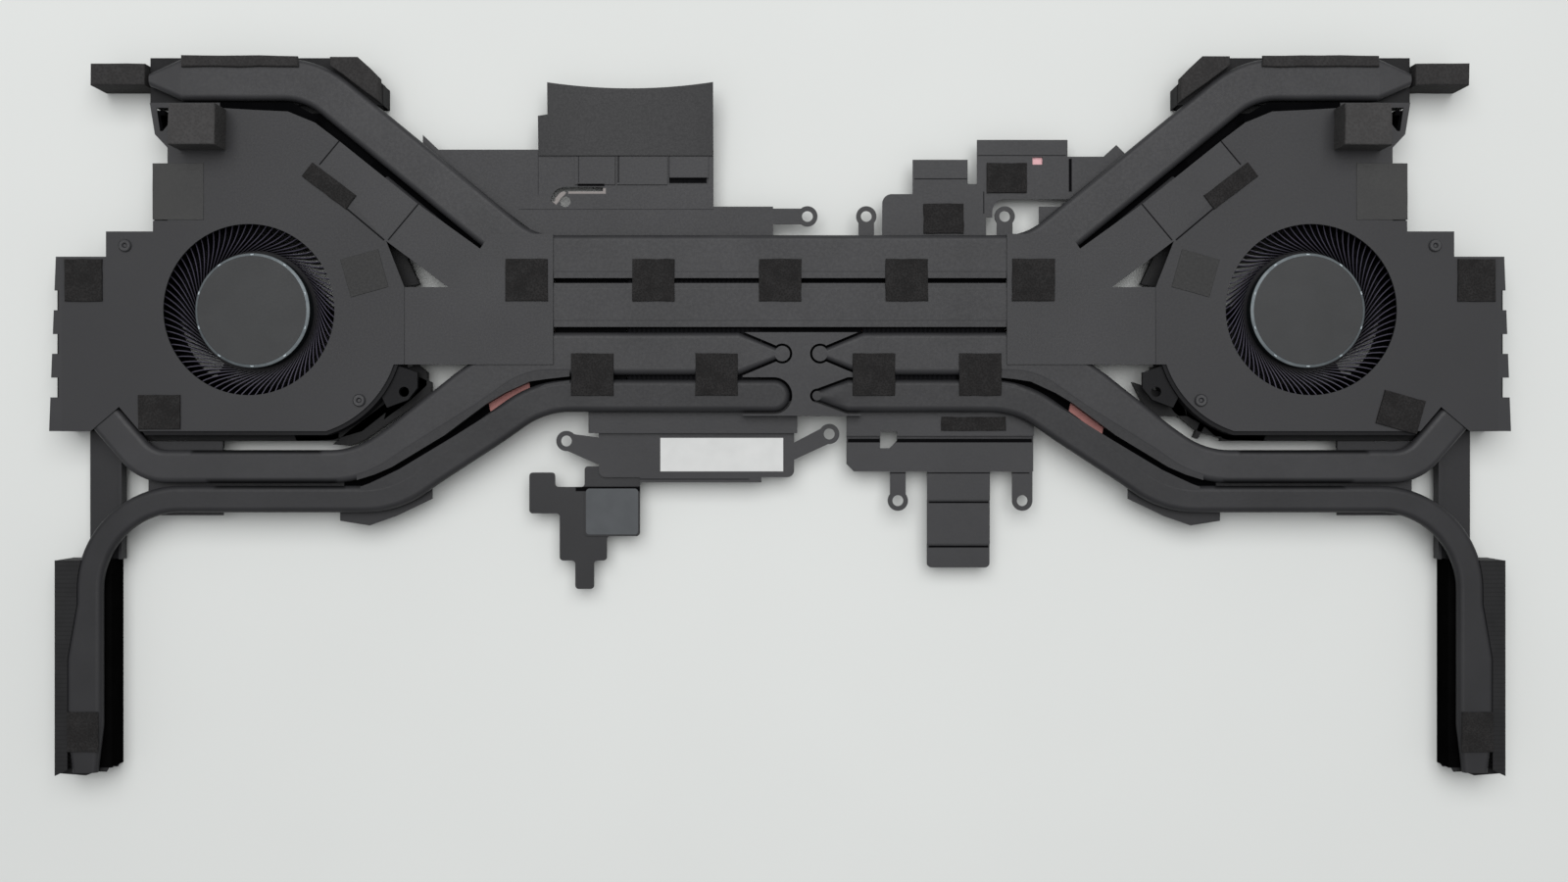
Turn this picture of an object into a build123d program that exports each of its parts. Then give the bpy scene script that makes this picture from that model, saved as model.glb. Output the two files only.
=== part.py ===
from build123d import *
import os
from math import cos, radians, sin, sqrt, tan

# Twin-blower cooling module of a laptop, seen on its heat-pipe side and lying on its fins.
# Millimetres, +Z up. The origin is under the middle of the module, on the surface it lies on.
# Left pieces are drawn at negative X and mirrored to the right, apart from the middle brackets.

# Height levels
sheet = 0.4
cover_top = 10.0
pipe_thickness = 3.0
frame_thickness = 1.0
plate_thickness = 0.6
pipe_top = cover_top - sheet
pipe_bottom = pipe_top - pipe_thickness
pipe_level = pipe_top - pipe_thickness / 2
frame_bottom = pipe_bottom - frame_thickness
plate_bottom = frame_bottom - plate_thickness

# Clearances
fit_gap = 0.3
running_gap = 0.03
seam = 0.1

# Blower, measured from its own axis
fan_x = 134.6
fan_y = 27.1
inlet_radius = 21.7
body_west = 36.2
body_south = 30.8
body_north = 52.4
body_east = 39.4
shoulder_west = 25.1
neck_west = 20.6
neck_south = 22.5
neck_north = 41.0
volute_radius = 38.6
arm_low = -13.9
arm_high = 5.7
side_reach = 47.4
side_north = 13.4
ledge_north = 19.8
wall = 1.2
floor_bottom = 0.4
floor_thickness = 1.0
rim = 1.0
outlet_cut = 4.8
outlet_post = 3.6

# Impeller and motor
impeller_radius = 28.0
blade_count = 79
blade_thickness = 0.6
knee_rise = 1.6
knee_sweep = 12.0
waist_rise = 4.0
waist_sweep = 21.0
tip_sweep = 28.5
impeller_clear = 0.6
blade_bottom = 2.4
blade_top = 8.3
root_radius = 15.6
root_bite = 0.15
root_top = 4.4
cap_radius = 14.6
cap_top = 8.0
cap_wall = 0.6
magnet_thickness = 1.1
magnet_height = 3.4
stator_radius = 12.0
stator_height = 2.6
pole_count = 9
pole_width = 1.8
pole_shoe = 5.4
shaft_radius = 1.0
sleeve_radius = 2.2
boss_radius = 3.2
boss_height = 4.6
intake_inner = 15.4
intake_outer = 21.0
spoke_width = 3.2
spoke_count = 3

# Heat pipes, flattened round tube
wide_pipe = 10.8
slim_pipe = 8.2
wide_run = 8.4
slim_run = 6.8
arm_pipe = 9.2
row_1 = 40.8
row_gap = 1.6
slim_gap = 1.2
row_2 = row_1 - wide_pipe - row_gap
row_3 = row_2 - wide_pipe - row_gap
row_4 = row_3 - wide_pipe / 2 - slim_gap - slim_pipe / 2
rear_gap = 0.8
rear_y = fan_y + body_north + rear_gap + wide_pipe / 2
rear_slope = 39.4
rear_bend_x = 64.3
rear_bend_radius = 20.0
rear_pipe_west = 17.4
rear_tip_length = 8.3
slit = 1.4
middle_reach = 45.0
front_slope = 35.2
side_bend_x = 66.2
front_bend_x = 60.9
bend_radius = 24.0
run_gap = 4.8
run_clear = 0.7
left_tip_x = 2.5
right_tip_x = 8.2
tip_length = 13.0
tip_width = 3.2
tip_thickness = 2.4
crimp_length = 3.4
crimp_width = 2.8
bulb_width = 3.9
point_length = 9.0
point_width = 2.4
side_taper_lead = 9.2
front_taper_lead = 6.8
taper_tail = 4.4
seat_bend_radius = 11.0
side_climb = 49.5
side_pipe_west = 41.7
side_pipe_turn = 21.9
arm_bend_radius = 23.0
arm_entry_drop = 11.1
arm_seat_drop = 25.0
arm_tip_length = 13.0
arm_tip_width = 6.4

# Fin stacks
fin_thickness = 0.25
fin_pitch = 2.0
fin_sheet = 0.3
rear_stack_depth = 12.0
rear_stack_west = 26.4
rear_stack_east = 33.1
side_stack_west = 48.7
arm_outer = 184.0
arm_width = 13.1
arm_north = -36.5
arm_length = 55.2
arm_rim = 2.3
channel_gap = 0.8

# Blower outline corners, measured from its axis
shoulder_drop = 8.0
shoulder_lean = 1.3
neck_lip = 3.7
volute_south_x = 19.5
volute_east_x = 36.7
volute_angle = 41.0
strip_low = (34.8, 17.4)
strip_west = (17.7, 36.5)
strip_top = (22.9, 42.7)
strip_east = (42.5, 27.0)
cover_north_x = 10.1
notch_back = 7.8
notch_half = 4.9
corner_window = ((-23.4, 51.2), (-18.9, 51.1), (-19.4, 48.2), (-21.8, 45.2), (-22.5, 45.2))
base_inset = 1.0
base_north = 50.5
screw_west = (-31.3, 16.2)
screw_south = (28.0, -23.0)
screw_radius = 0.75
screw_head_radius = 1.6
screw_head_height = 0.6
screw_length = 4.6
post_radius = 2.0
lug_thickness = 1.5
lug_top = 8.8
fan_lug = (39.0, -20.8)
fan_lug_hole = 1.3
lug_reach = 3.0
lug_slant = 2.0
lug_corner = 1.0
lug_root = 4.0

# Bridge plates over the pipes
bridge_east = 57.5
bridge_slope_x = 73.5
bridge_slit_x = 76.0
bridge_crotch_x = 84.2

# Middle frame and cold plates
frame_half = 57.5
frame_left_south = -4.2
frame_right_south = -4.9
frame_step_left = 4.4
frame_step_right = 17.0
frame_left_west = 49.0
infill_west = 9.5
infill_east = 20.5
infill_drop = 0.3
groove = 0.6
cold_left_x = -22.0
cold_left_y = 23.0
cold_right_x = 38.0
cold_right_y = 17.0
cold_width = 34.0
cold_depth = 30.0
cold_bottom = 4.0
die_width = 20.0
die_depth = 16.0
die_rise = 0.5

# Mounting lugs of the thin plates
plate_lug_radius = 2.6
plate_lug_hole = 1.4
lug_stem = 4.0
upper_left_lug = (-55.1, 55.2)
upper_left_far_lug = (7.0, 51.4)
upper_right_lug = (22.1, 51.4)
upper_right_far_lug = (57.6, 51.4)
lower_left_lug = (-54.8, -6.2)
lower_left_far_lug = (12.6, -4.4)
lower_right_lug = (30.2, -21.5)
lower_right_far_lug = (62.1, -21.5)
plate_overlap = 3.0

# Pads, foam, tape and labels
pad_size = 11.0
pad_thickness = 0.5
pad_pitch = 32.1
pad_left_outer = -47.6
pad_left_inner = -16.1
pad_right_inner = 23.8
pad_right_outer = 50.8
tape_thickness = 0.15
foam_height = 7.5
label_thickness = 0.1

# Thin plates and brackets round the middle frame
frame_right_east = 64.9
frame_corner_drop = 3.0
upper_plate_north = 68.5
upper_left_east = -17.1
upper_left_step = 53.9
upper_left_end = -1.8
upper_left_tail = (-91.6, 72.3)
upper_left_notch_x = -87.6
patch_south = 59.5
patch_rise = 0.4
patch_gap = 0.5
patch_1_west = -52.6
patch_2_west = -41.8
patch_3_west = -28.4
patch_3_east = -18.4
recess_height = 1.7
crescent_width = 1.1
crescent_length = 9.7
flap_west = -61.9
flap_north = 85.4
flap_south = 66.9
flap_step_y = 77.2
flap_step = 2.4
flap_rise = 1.4
flap_dip = 1.3
flap_thickness = 0.25
upper_right_west = 26.2
upper_right_shelf = 57.1
shelf_radius = 2.4
tower_west = 34.0
tower_east = 48.1
tower_north = 65.9
tower_gap = 59.7
block_west = 50.5
block_east = 73.7
block_north = 71.0
block_south = 55.8
tail_north = 66.7
tail_east = 82.9
tail_tip = (86.2, 69.7)
cut_west = 54.4
cut_step = 51.2
cut_inner = 52.8
cut_radius = 3.2
shelf_west = 66.4
shelf_east = 74.0
shelf_north = 53.9
window_middle = (66.0, 65.6)
window_width = 2.6
window_height = 1.9
lower_left_west = -46.5
lower_left_east = 3.6
lower_left_south = -15.5
bracket_corner = 1.8
left_arm_north = -5.3
left_arm_south = -12.3
far_arm_north = -6.6
far_arm_south = -11.0
lip_depth = 1.3
lip_west = -36.0
lip_east = -4.8
white_label_east = 0.8
white_label_width = 31.5
white_label_drop = 1.2
white_label_height = 8.6
step_west = -50.2
step_east = -36.0
step_north = -12.7
step_fold = -18.0
step_south = -30.6
column_west = -56.6
column_east = -44.5
column_south = -36.9
ear_west = -64.4
ear_east = -57.8
ear_north = -14.3
ear_south = -24.8
foot_west = -52.6
foot_east = -47.8
foot_south = -44.2
step_corner = 0.9
label_margin = 0.4
lower_right_west = 17.0
lower_right_south = -14.0
lower_right_hole_x = 27.8
lower_right_hole_y = -5.9
lower_right_hole = 4.3
plate_chamfer = 1.9
tab_west = 37.7
tab_east = 53.8
tab_fold_1 = -21.3
tab_fold_2 = -32.6
tab_south = -38.7
fold_drop = 0.4
tab_corner = 1.2

# Side rails, link plates and pipe brackets
rail_top_width = 1.5
rail_bottom_width = 3.2
rail_notch = 5.0
rail_notches = 3
link_inner = 15.2
link_width = 9.1
link_seat_west = 43.3
link_seat_east = 34.2
link_bottom = 2.6
link_lip = 3.0
bracket_thickness = 0.8
bracket_west = 161.5
bracket_shoulder = 142.5
bracket_tail_x = 112.5
bracket_end_x = 89.0
bracket_margin = 3.4
bracket_head = 2.2
tail_drop = 6.8
tail_rise = 1.2

# Foam and pad places
gasket_end_west = 40.7
gasket_end_south = 1.8
gasket_end_depth = 6.0
gasket_top = 9.5
gasket_strip_west = 17.4
gasket_strip_east = 12.7
gasket_strip_width = 3.3
gasket_strip_height = 0.8
gasket_corner_west = 20.1
gasket_corner_east = 27.6
gasket_corner_drop = 2.4
foam_west = 17.7
foam_width = 12.2
foam_south = 40.1
foam_depth = 10.8
side_pad_middle = (-41.8, 7.4)
cover_pad_middle = (-22.6, -26.0)
cover_pad_height = 9.0
slant_pad_middle = (20.4, 31.3)
slant_pad_length = 14.4
slant_pad_width = 4.4
slant_pad_turn = -37.3
tape_middle = (-17.9, 29.9)
tape_width = 13.0
tape_height = 14.4
grey_tape_middle = (29.3, 9.2)
grey_tape_size = 10.0
grey_tape_turn = 15.4
right_pad_turn = 15.0
arm_pad_width = 8.2
arm_pad_length = 10.4
arm_pad_drop = 6.5
thermal_pad_length = 15.0
thermal_pad_long = 21.0
thermal_pad_width = 9.0
thermal_pad_left_gap = 10.3
thermal_pad_left_rise = 4.8
thermal_pad_right_gap = 12.1
thermal_pad_right_rise = 6.3
thermal_pad_small = 6.0
plate_pad_1 = (58.1, 61.2)
plate_pad_2 = (41.9, 50.8)
plate_pad_3 = (49.5, -1.8)
plate_pad_width = 10.6
plate_pad_height = 8.0
plate_pad_3_width = 16.8
plate_pad_3_height = 3.8

rear_end_x = fan_x + rear_pipe_west
side_run_y = fan_y - body_south - run_gap - wide_run / 2
front_run_y = side_run_y - wide_run / 2 - run_clear - slim_run / 2
side_pipe_x = -fan_x - side_pipe_west
side_turn_y = fan_y - side_pipe_turn
arm_seat_x = -arm_outer + arm_rim + fit_gap + arm_pipe / 2
arm_entry_x = arm_seat_x + (arm_pipe - slim_run) / 2
bend_lead = bend_radius * tan(radians(front_slope / 2))

os.makedirs("parts", exist_ok=True)


def save(builder, node):
    builder.part.label = node
    export_step(builder.part, f"parts/{node}.step")


def save_pair(builder, name):
    """Write the left piece, and its mirror image as the right one."""
    save(builder, f"left_{name}")
    with BuildPart() as twin:
        mirror(builder.part, about=Plane.YZ)
    save(twin, f"right_{name}")


def fan_plane(height):
    """Level plane with its origin on the left blower's axis."""
    return Plane((-fan_x, fan_y, height))


def level(height):
    return Plane((0, 0, height))


def across(line, at):
    """Plane square to a level line, with its x axis level."""
    heading = line % at
    return Plane(origin=line @ at, x_dir=Vector(heading.Y, -heading.X, 0), z_dir=heading)


def at_pipe_level(x, y):
    return (x, y, pipe_level)


def toward(start, end, distance):
    """Point at a distance from start on the way to end."""
    way = Vector(*end) - Vector(*start)
    return tuple(Vector(*start) + way.normalized() * distance)


def pipe_run(points, radii, width):
    """Flattened tube along straight runs joined by arcs."""
    with BuildPart() as run:
        with BuildLine() as route:
            if len(points) > 2:
                FilletPolyline(*points, radius=radii)
            else:
                Line(*points)
        with BuildSketch(across(route.line, 0)):
            SlotOverall(width, pipe_thickness)
        sweep(path=route.line)
    return run.part


def pipe_taper(start, end, start_width, end_width, end_thickness):
    """Straight stretch of tube that changes its width evenly."""
    with BuildPart() as taper:
        with BuildLine() as axis:
            Line(start, end)
        with BuildSketch(across(axis.line, 0)):
            SlotOverall(start_width, pipe_thickness)
        with BuildSketch(across(axis.line, 1)):
            SlotOverall(end_width, end_thickness)
        loft(ruled=True)
    return taper.part


# Rear heat pipe: one long tube from the left rear fins, across the middle, to the right ones
rear_corner_x = rear_bend_x + (rear_y - row_1) / tan(radians(rear_slope))
rear_end = at_pipe_level(-rear_end_x, rear_y)
rear_corner = at_pipe_level(-rear_corner_x, rear_y)
row_corner = at_pipe_level(-rear_bend_x, row_1)
with BuildPart() as rear_heat_pipe:
    add(pipe_run(
        [rear_end, rear_corner, row_corner, at_pipe_level(0, row_1)],
        [rear_bend_radius, rear_bend_radius], wide_pipe))
    add(pipe_taper(
        rear_end, at_pipe_level(-rear_end_x - rear_tip_length, rear_y),
        wide_pipe, tip_width, tip_thickness))
    mirror(about=Plane.YZ)
save(rear_heat_pipe, "rear_heat_pipe")

# Middle heat pipe: runs beside the rear one and ends under the seal strips
pipe_pitch = wide_pipe + slit
slope_run = pipe_pitch * sin(radians(rear_slope))
slope_drop = row_1 - row_2 - pipe_pitch * cos(radians(rear_slope))
middle_bend_x = rear_bend_x + slope_run - slope_drop / tan(radians(rear_slope))
middle_corner = at_pipe_level(-middle_bend_x, row_2)
middle_end = at_pipe_level(
    -middle_bend_x - middle_reach * cos(radians(rear_slope)),
    row_2 + middle_reach * sin(radians(rear_slope)))
with BuildPart() as middle_heat_pipe:
    add(pipe_run(
        [middle_end, middle_corner, at_pipe_level(0, row_2)],
        [rear_bend_radius], wide_pipe))
    mirror(about=Plane.YZ)
save(middle_heat_pipe, "middle_heat_pipe")

# Side heat pipes: from the middle, under the blower, up onto the side fins below the cover
side_row_corner = at_pipe_level(-side_bend_x, row_3)
side_drop_x = side_bend_x + (row_3 - side_run_y) / tan(radians(front_slope))
side_run_start = at_pipe_level(-side_drop_x, side_run_y)
side_run_end = at_pipe_level(
    side_pipe_x + (side_turn_y - side_run_y) / tan(radians(side_climb)), side_run_y)
side_turn = at_pipe_level(side_pipe_x, side_turn_y)
side_end = at_pipe_level(side_pipe_x, fan_y + side_north - tip_length)
side_taper_start = toward(side_row_corner, side_run_start, bend_lead + side_taper_lead)
side_taper_end = toward(side_run_start, side_row_corner, bend_lead + taper_tail)


def round_end(middle, width):
    """Flat round end of a crimped tube."""
    with BuildPart() as end:
        with BuildSketch(Plane(middle)):
            Circle(width / 2)
        extrude(amount=tip_thickness / 2, both=True)
    return end.part


def side_heat_pipe(tip_x):
    shoulder = at_pipe_level(tip_x - tip_length, row_3)
    with BuildPart() as pipe:
        add(pipe_taper(
            shoulder, at_pipe_level(tip_x - crimp_length, row_3), wide_pipe, crimp_width,
            tip_thickness))
        add(round_end(at_pipe_level(tip_x - bulb_width / 2, row_3), bulb_width))
        add(pipe_run(
            [shoulder, side_row_corner, side_taper_start], [bend_radius], wide_pipe))
        add(pipe_taper(
            side_taper_start, side_taper_end, wide_pipe, wide_run, pipe_thickness))
        add(pipe_run(
            [side_taper_end, side_run_start, side_run_end, side_turn, side_end],
            [bend_radius, seat_bend_radius, seat_bend_radius], wide_run))
        add(pipe_taper(
            side_end, toward(side_end, at_pipe_level(side_pipe_x, fan_y + side_north), tip_length),
            wide_run, tip_width, tip_thickness))
    return pipe


left_side_heat_pipe = side_heat_pipe(left_tip_x)
save(left_side_heat_pipe, "left_side_heat_pipe")
with BuildPart() as right_side_heat_pipe:
    mirror(side_heat_pipe(-right_tip_x).part, about=Plane.YZ)
save(right_side_heat_pipe, "right_side_heat_pipe")

# Front heat pipes: slimmer tubes from the middle, round the corner and down the front fins
front_row_corner = at_pipe_level(-front_bend_x, row_4)
front_drop_x = front_bend_x + (row_4 - front_run_y) / tan(radians(front_slope))
front_run_start = at_pipe_level(-front_drop_x, front_run_y)
front_arm_corner = at_pipe_level(arm_entry_x, front_run_y)
arm_entry = at_pipe_level(arm_entry_x, arm_north - arm_entry_drop)
arm_seat = at_pipe_level(arm_seat_x, arm_north - arm_seat_drop)
arm_end = at_pipe_level(arm_seat_x, arm_north - arm_length + arm_tip_length)
arm_tip = at_pipe_level(arm_seat_x, arm_north - arm_length + wall)
front_taper_start = toward(front_row_corner, front_run_start, bend_lead + front_taper_lead)
front_taper_end = toward(front_run_start, front_row_corner, bend_lead + taper_tail)


def front_heat_pipe(shoulder_x):
    shoulder = at_pipe_level(shoulder_x, row_4)
    with BuildPart() as pipe:
        add(pipe_run(
            [shoulder, front_row_corner, front_taper_start], [bend_radius], slim_pipe))
        add(pipe_taper(
            front_taper_start, front_taper_end, slim_pipe, slim_run, pipe_thickness))
        add(pipe_run(
            [front_taper_end, front_run_start, front_arm_corner, arm_entry],
            [bend_radius, arm_bend_radius], slim_run))
        with BuildSketch(Plane(arm_entry, x_dir=(1, 0, 0), z_dir=(0, -1, 0))):
            SlotOverall(slim_run, pipe_thickness)
        with BuildSketch(Plane(arm_seat, x_dir=(1, 0, 0), z_dir=(0, -1, 0))):
            SlotOverall(arm_pipe, pipe_thickness)
        loft(ruled=True)
        add(pipe_run([arm_seat, arm_end], [], arm_pipe))
        add(pipe_taper(arm_end, arm_tip, arm_pipe, arm_tip_width, tip_thickness))
    return pipe


left_round_x = left_tip_x - slim_pipe / 2
with BuildPart() as left_front_heat_pipe:
    add(front_heat_pipe(left_round_x).part)
    with BuildSketch(Plane.XZ.offset(-row_4)):
        with Locations((left_round_x, pipe_level)):
            SlotOverall(slim_pipe, pipe_thickness)
            Rectangle(
                slim_pipe, pipe_thickness, align=(Align.MAX, Align.CENTER), mode=Mode.SUBTRACT)
    revolve(axis=Axis((left_round_x, row_4, 0), (0, 0, 1)), revolution_arc=360)
save(left_front_heat_pipe, "left_front_heat_pipe")

right_point_x = right_tip_x + point_width / 2
with BuildPart() as right_front_heat_pipe:
    mirror(front_heat_pipe(-right_tip_x - point_length).part, about=Plane.YZ)
    add(pipe_taper(
        at_pipe_level(right_tip_x + point_length, row_4), at_pipe_level(right_point_x, row_4),
        slim_pipe, point_width, tip_thickness))
    add(round_end(at_pipe_level(right_point_x, row_4), point_width))
save(right_front_heat_pipe, "right_front_heat_pipe")

# Direction of the side pipe where it climbs onto the side fins, and square to it
climb = Vector(-cos(radians(side_climb)), sin(radians(side_climb)))
climb_side = Vector(sin(radians(side_climb)), cos(radians(side_climb)))
notch_middle = Vector(-side_pipe_west, -side_pipe_turn) - climb * notch_back


def climb_line(offset, y):
    """Point at a height y on a line beside the climbing pipe, seen from the fan axis."""
    start = notch_middle + climb_side * offset
    point = start + climb * ((y - start.Y) / climb.Y)
    return (point.X, point.Y)


def climb_height(offset, x):
    """Height at which that line passes a place x."""
    start = notch_middle + climb_side * offset
    return start.Y + climb.Y * ((x - start.X) / climb.X)


def volute_point(radius):
    return (radius * cos(radians(volute_angle)), -radius * sin(radians(volute_angle)))


# Fan covers: stamped sheet over the blower and the side fins, with a round inlet
notch_inner = notch_middle + climb_side * notch_half
notch_outer = notch_middle - climb_side * ((notch_middle.Y + body_south) / climb_side.Y)
with BuildPart() as fan_cover:
    with BuildSketch(fan_plane(pipe_top)):
        with BuildLine():
            Polyline(
                (volute_east_x, arm_low), (body_east, arm_low), (body_east, arm_high),
                strip_low, strip_west, strip_top, (cover_north_x, body_north),
                (-shoulder_west, body_north),
                (shoulder_lean - shoulder_west, body_north - shoulder_drop),
                (-neck_west, neck_north), (-neck_west, neck_south),
                (-neck_west - neck_lip, neck_south), (-neck_west - neck_lip, ledge_north),
                (-body_west, ledge_north), (-body_west, side_north), (-side_reach, side_north),
                (-side_reach, -body_south), (notch_outer.X, -body_south),
                (notch_inner.X, notch_inner.Y), climb_line(notch_half, -body_south),
                (volute_south_x, -body_south))
            ThreePointArc(
                (volute_south_x, -body_south), volute_point(volute_radius), (volute_east_x, arm_low))
        make_face()
        Circle(inlet_radius, mode=Mode.SUBTRACT)
        Polygon(*corner_window, align=None, mode=Mode.SUBTRACT)
        with Locations(screw_west, screw_south):
            Circle(screw_radius + fit_gap, mode=Mode.SUBTRACT)
    extrude(amount=sheet)
save_pair(fan_cover, "fan_cover")

# Fan bases: moulded floor with a scroll wall, open to the side fins, and a low duct that runs
# under the pipes to the far end of the rear fins
base_west = body_west - base_inset
base_south = body_south + rim
base_neck = neck_west - base_inset
base_ledge = ledge_north - base_inset
scroll_radius = impeller_radius + impeller_clear + wall
neck_meet = Vector(-base_neck, sqrt(scroll_radius ** 2 - base_neck ** 2))
ledge_meet = Vector(-sqrt(scroll_radius ** 2 - base_ledge ** 2), base_ledge)
scroll_middle = (neck_meet + ledge_meet).normalized() * scroll_radius
notch_offset = notch_half + fit_gap
duct_east = rear_stack_east - base_inset
duct_top = pipe_bottom - fit_gap
duct_roof = duct_top - floor_thickness
with BuildPart() as fan_base:
    with BuildSketch(fan_plane(floor_bottom), mode=Mode.PRIVATE) as base_outline:
        with BuildLine():
            neck_side = Polyline(
                (volute_east_x + rim, arm_low), (body_east - base_inset, arm_high - base_inset),
                (strip_low[0] - base_inset, strip_low[1] - base_inset),
                (strip_west[0] - base_inset, strip_west[1] - base_inset),
                (cover_north_x, base_north), (base_inset - shoulder_west, base_north),
                (base_inset - shoulder_west + shoulder_lean, body_north - shoulder_drop),
                (-base_neck, neck_north), (neck_meet.X, neck_meet.Y))
            ThreePointArc(neck_side @ 1, scroll_middle, ledge_meet)
            Polyline(
                (ledge_meet.X, ledge_meet.Y), (-base_west, base_ledge),
                (-base_west, climb_height(notch_offset, -base_west)),
                climb_line(notch_offset, -base_south), (volute_south_x, -base_south))
            ThreePointArc(
                (volute_south_x, -base_south), volute_point(volute_radius + rim),
                (volute_east_x + rim, arm_low))
        make_face()
    with BuildSketch(fan_plane(floor_bottom), mode=Mode.PRIVATE) as base_ring:
        add(base_outline.sketch_local)
        offset(amount=-wall, mode=Mode.SUBTRACT)
    with BuildSketch(fan_plane(floor_bottom), mode=Mode.PRIVATE) as duct:
        Polygon(
            (strip_low[0] - base_inset, strip_low[1] - base_inset), (duct_east, base_north),
            (cover_north_x, base_north),
            (strip_west[0] - base_inset, strip_west[1] - base_inset), align=None)
    with BuildSketch(fan_plane(floor_bottom)) as base_and_duct:
        add(base_outline.sketch_local)
        add(duct.sketch_local)
    extrude(amount=floor_thickness)
    with BuildSketch(fan_plane(floor_bottom)):
        add(base_and_duct.sketch_local)
        offset(amount=-wall, mode=Mode.SUBTRACT)
    extrude(amount=duct_top - floor_bottom)
    with BuildSketch(fan_plane(duct_roof)):
        add(duct.sketch_local)
        add(base_ring.sketch_local)
    extrude(amount=floor_thickness)
    with BuildSketch(fan_plane(duct_roof)):
        add(base_ring.sketch_local)
    extrude(amount=pipe_top - duct_roof)
    with BuildSketch(fan_plane(floor_bottom)):
        with Locations(screw_west, screw_south):
            Circle(post_radius)
    extrude(amount=pipe_top - floor_bottom)
    with BuildSketch(fan_plane(lug_top - lug_thickness)):
        Polygon(
            (volute_east_x, arm_low), (body_east + lug_reach, arm_low - lug_slant),
            (body_east + lug_reach, fan_lug[1] + lug_corner),
            (fan_lug[0] + lug_corner, fan_lug[1] - lug_slant),
            (volute_east_x - lug_slant, fan_lug[1] - lug_root),
            (volute_east_x - lug_root, fan_lug[1]), align=None)
        with Locations(fan_lug):
            Circle(fan_lug_hole, mode=Mode.SUBTRACT)
    extrude(amount=lug_thickness)
    floor_top = floor_bottom + floor_thickness
    with BuildSketch(fan_plane(floor_top)):
        with Locations((-base_west, 0)):
            Rectangle(outlet_cut, 2 * side_north)
        with Locations(((cover_north_x - shoulder_west) / 2, base_north)):
            Rectangle(cover_north_x + shoulder_west - 2 * outlet_post, outlet_cut)
    extrude(amount=pipe_top - floor_top, mode=Mode.SUBTRACT)
    with BuildSketch(fan_plane(floor_top)):
        with Locations(((cover_north_x + duct_east) / 2, base_north)):
            Rectangle(duct_east - cover_north_x - 2 * outlet_post, outlet_cut)
    extrude(amount=duct_roof - floor_top, mode=Mode.SUBTRACT)
    with BuildSketch(fan_plane(floor_bottom)):
        Circle(intake_outer)
        Circle(intake_inner, mode=Mode.SUBTRACT)
        with PolarLocations(0, spoke_count):
            Rectangle(
                intake_outer + wall, spoke_width, align=(Align.MIN, Align.CENTER), mode=Mode.SUBTRACT)
    extrude(amount=floor_thickness, mode=Mode.SUBTRACT)
    with BuildSketch(fan_plane(floor_top)):
        Circle(boss_radius)
    extrude(amount=boss_height)
    with BuildSketch(fan_plane(floor_top)):
        Circle(boss_radius + wall)
    extrude(amount=boss_height - stator_height)
    with BuildSketch(fan_plane(floor_top)):
        Circle(sleeve_radius + running_gap)
        with Locations(screw_west, screw_south):
            Circle(screw_radius + 2 * running_gap)
    extrude(amount=pipe_top - floor_top, mode=Mode.SUBTRACT)
save_pair(fan_base, "fan_base")

# Fan motors: bearing sleeve and wound stator on the base, magnet and cap on the rotor
cap_bottom = blade_bottom + cap_wall
with BuildPart() as bearing_sleeve:
    with BuildSketch(fan_plane(floor_top)):
        Circle(sleeve_radius)
        Circle(shaft_radius + running_gap, mode=Mode.SUBTRACT)
    extrude(amount=boss_height)
save_pair(bearing_sleeve, "bearing_sleeve")

with BuildPart() as stator:
    with BuildSketch(fan_plane(floor_top + boss_height - stator_height)):
        Circle(boss_radius + 2 * wall)
        with PolarLocations(0, pole_count):
            Rectangle(stator_radius - wall, pole_width, align=(Align.MIN, Align.CENTER))
        with PolarLocations(stator_radius - wall, pole_count):
            Rectangle(wall, pole_shoe)
        Circle(boss_radius + running_gap, mode=Mode.SUBTRACT)
    extrude(amount=stator_height)
save_pair(stator, "stator")

with BuildPart() as rotor_shaft:
    with BuildSketch(fan_plane(floor_top + seam)):
        Circle(shaft_radius)
    extrude(amount=cap_top - cap_wall - floor_top - seam)
save_pair(rotor_shaft, "rotor_shaft")

with BuildPart() as rotor_cap:
    with BuildSketch(fan_plane(cap_bottom)):
        Circle(cap_radius)
    extrude(amount=cap_top - cap_bottom)
    chamfer(rotor_cap.faces().sort_by(Axis.Z)[-1].edges(), cap_wall / 2)
    with BuildSketch(fan_plane(cap_bottom)):
        Circle(cap_radius - cap_wall)
    extrude(amount=cap_top - cap_wall - cap_bottom, mode=Mode.SUBTRACT)
save_pair(rotor_cap, "rotor_cap")

with BuildPart() as rotor_magnet:
    with BuildSketch(fan_plane(cap_bottom)):
        Circle(cap_radius - cap_wall - running_gap)
        Circle(cap_radius - cap_wall - magnet_thickness, mode=Mode.SUBTRACT)
    extrude(amount=magnet_height)
save_pair(rotor_magnet, "rotor_magnet")

# Impellers: moulded ring round the cap with many thin swept blades, which rise from the ring.
# The ring has one flat between each two blades.
blade_bends = (
    (root_radius - root_bite, 0), (root_radius + knee_rise, -knee_sweep),
    (root_radius + waist_rise, -waist_sweep), (impeller_radius, -tip_sweep))


def blade_edge(half_width):
    """One side of a blade, as points from its root to its tip."""
    edge = []
    for radius, sweep_angle in blade_bends:
        turn = radians(sweep_angle) + half_width / radius
        edge.append((radius * cos(turn), radius * sin(turn)))
    return edge


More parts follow.
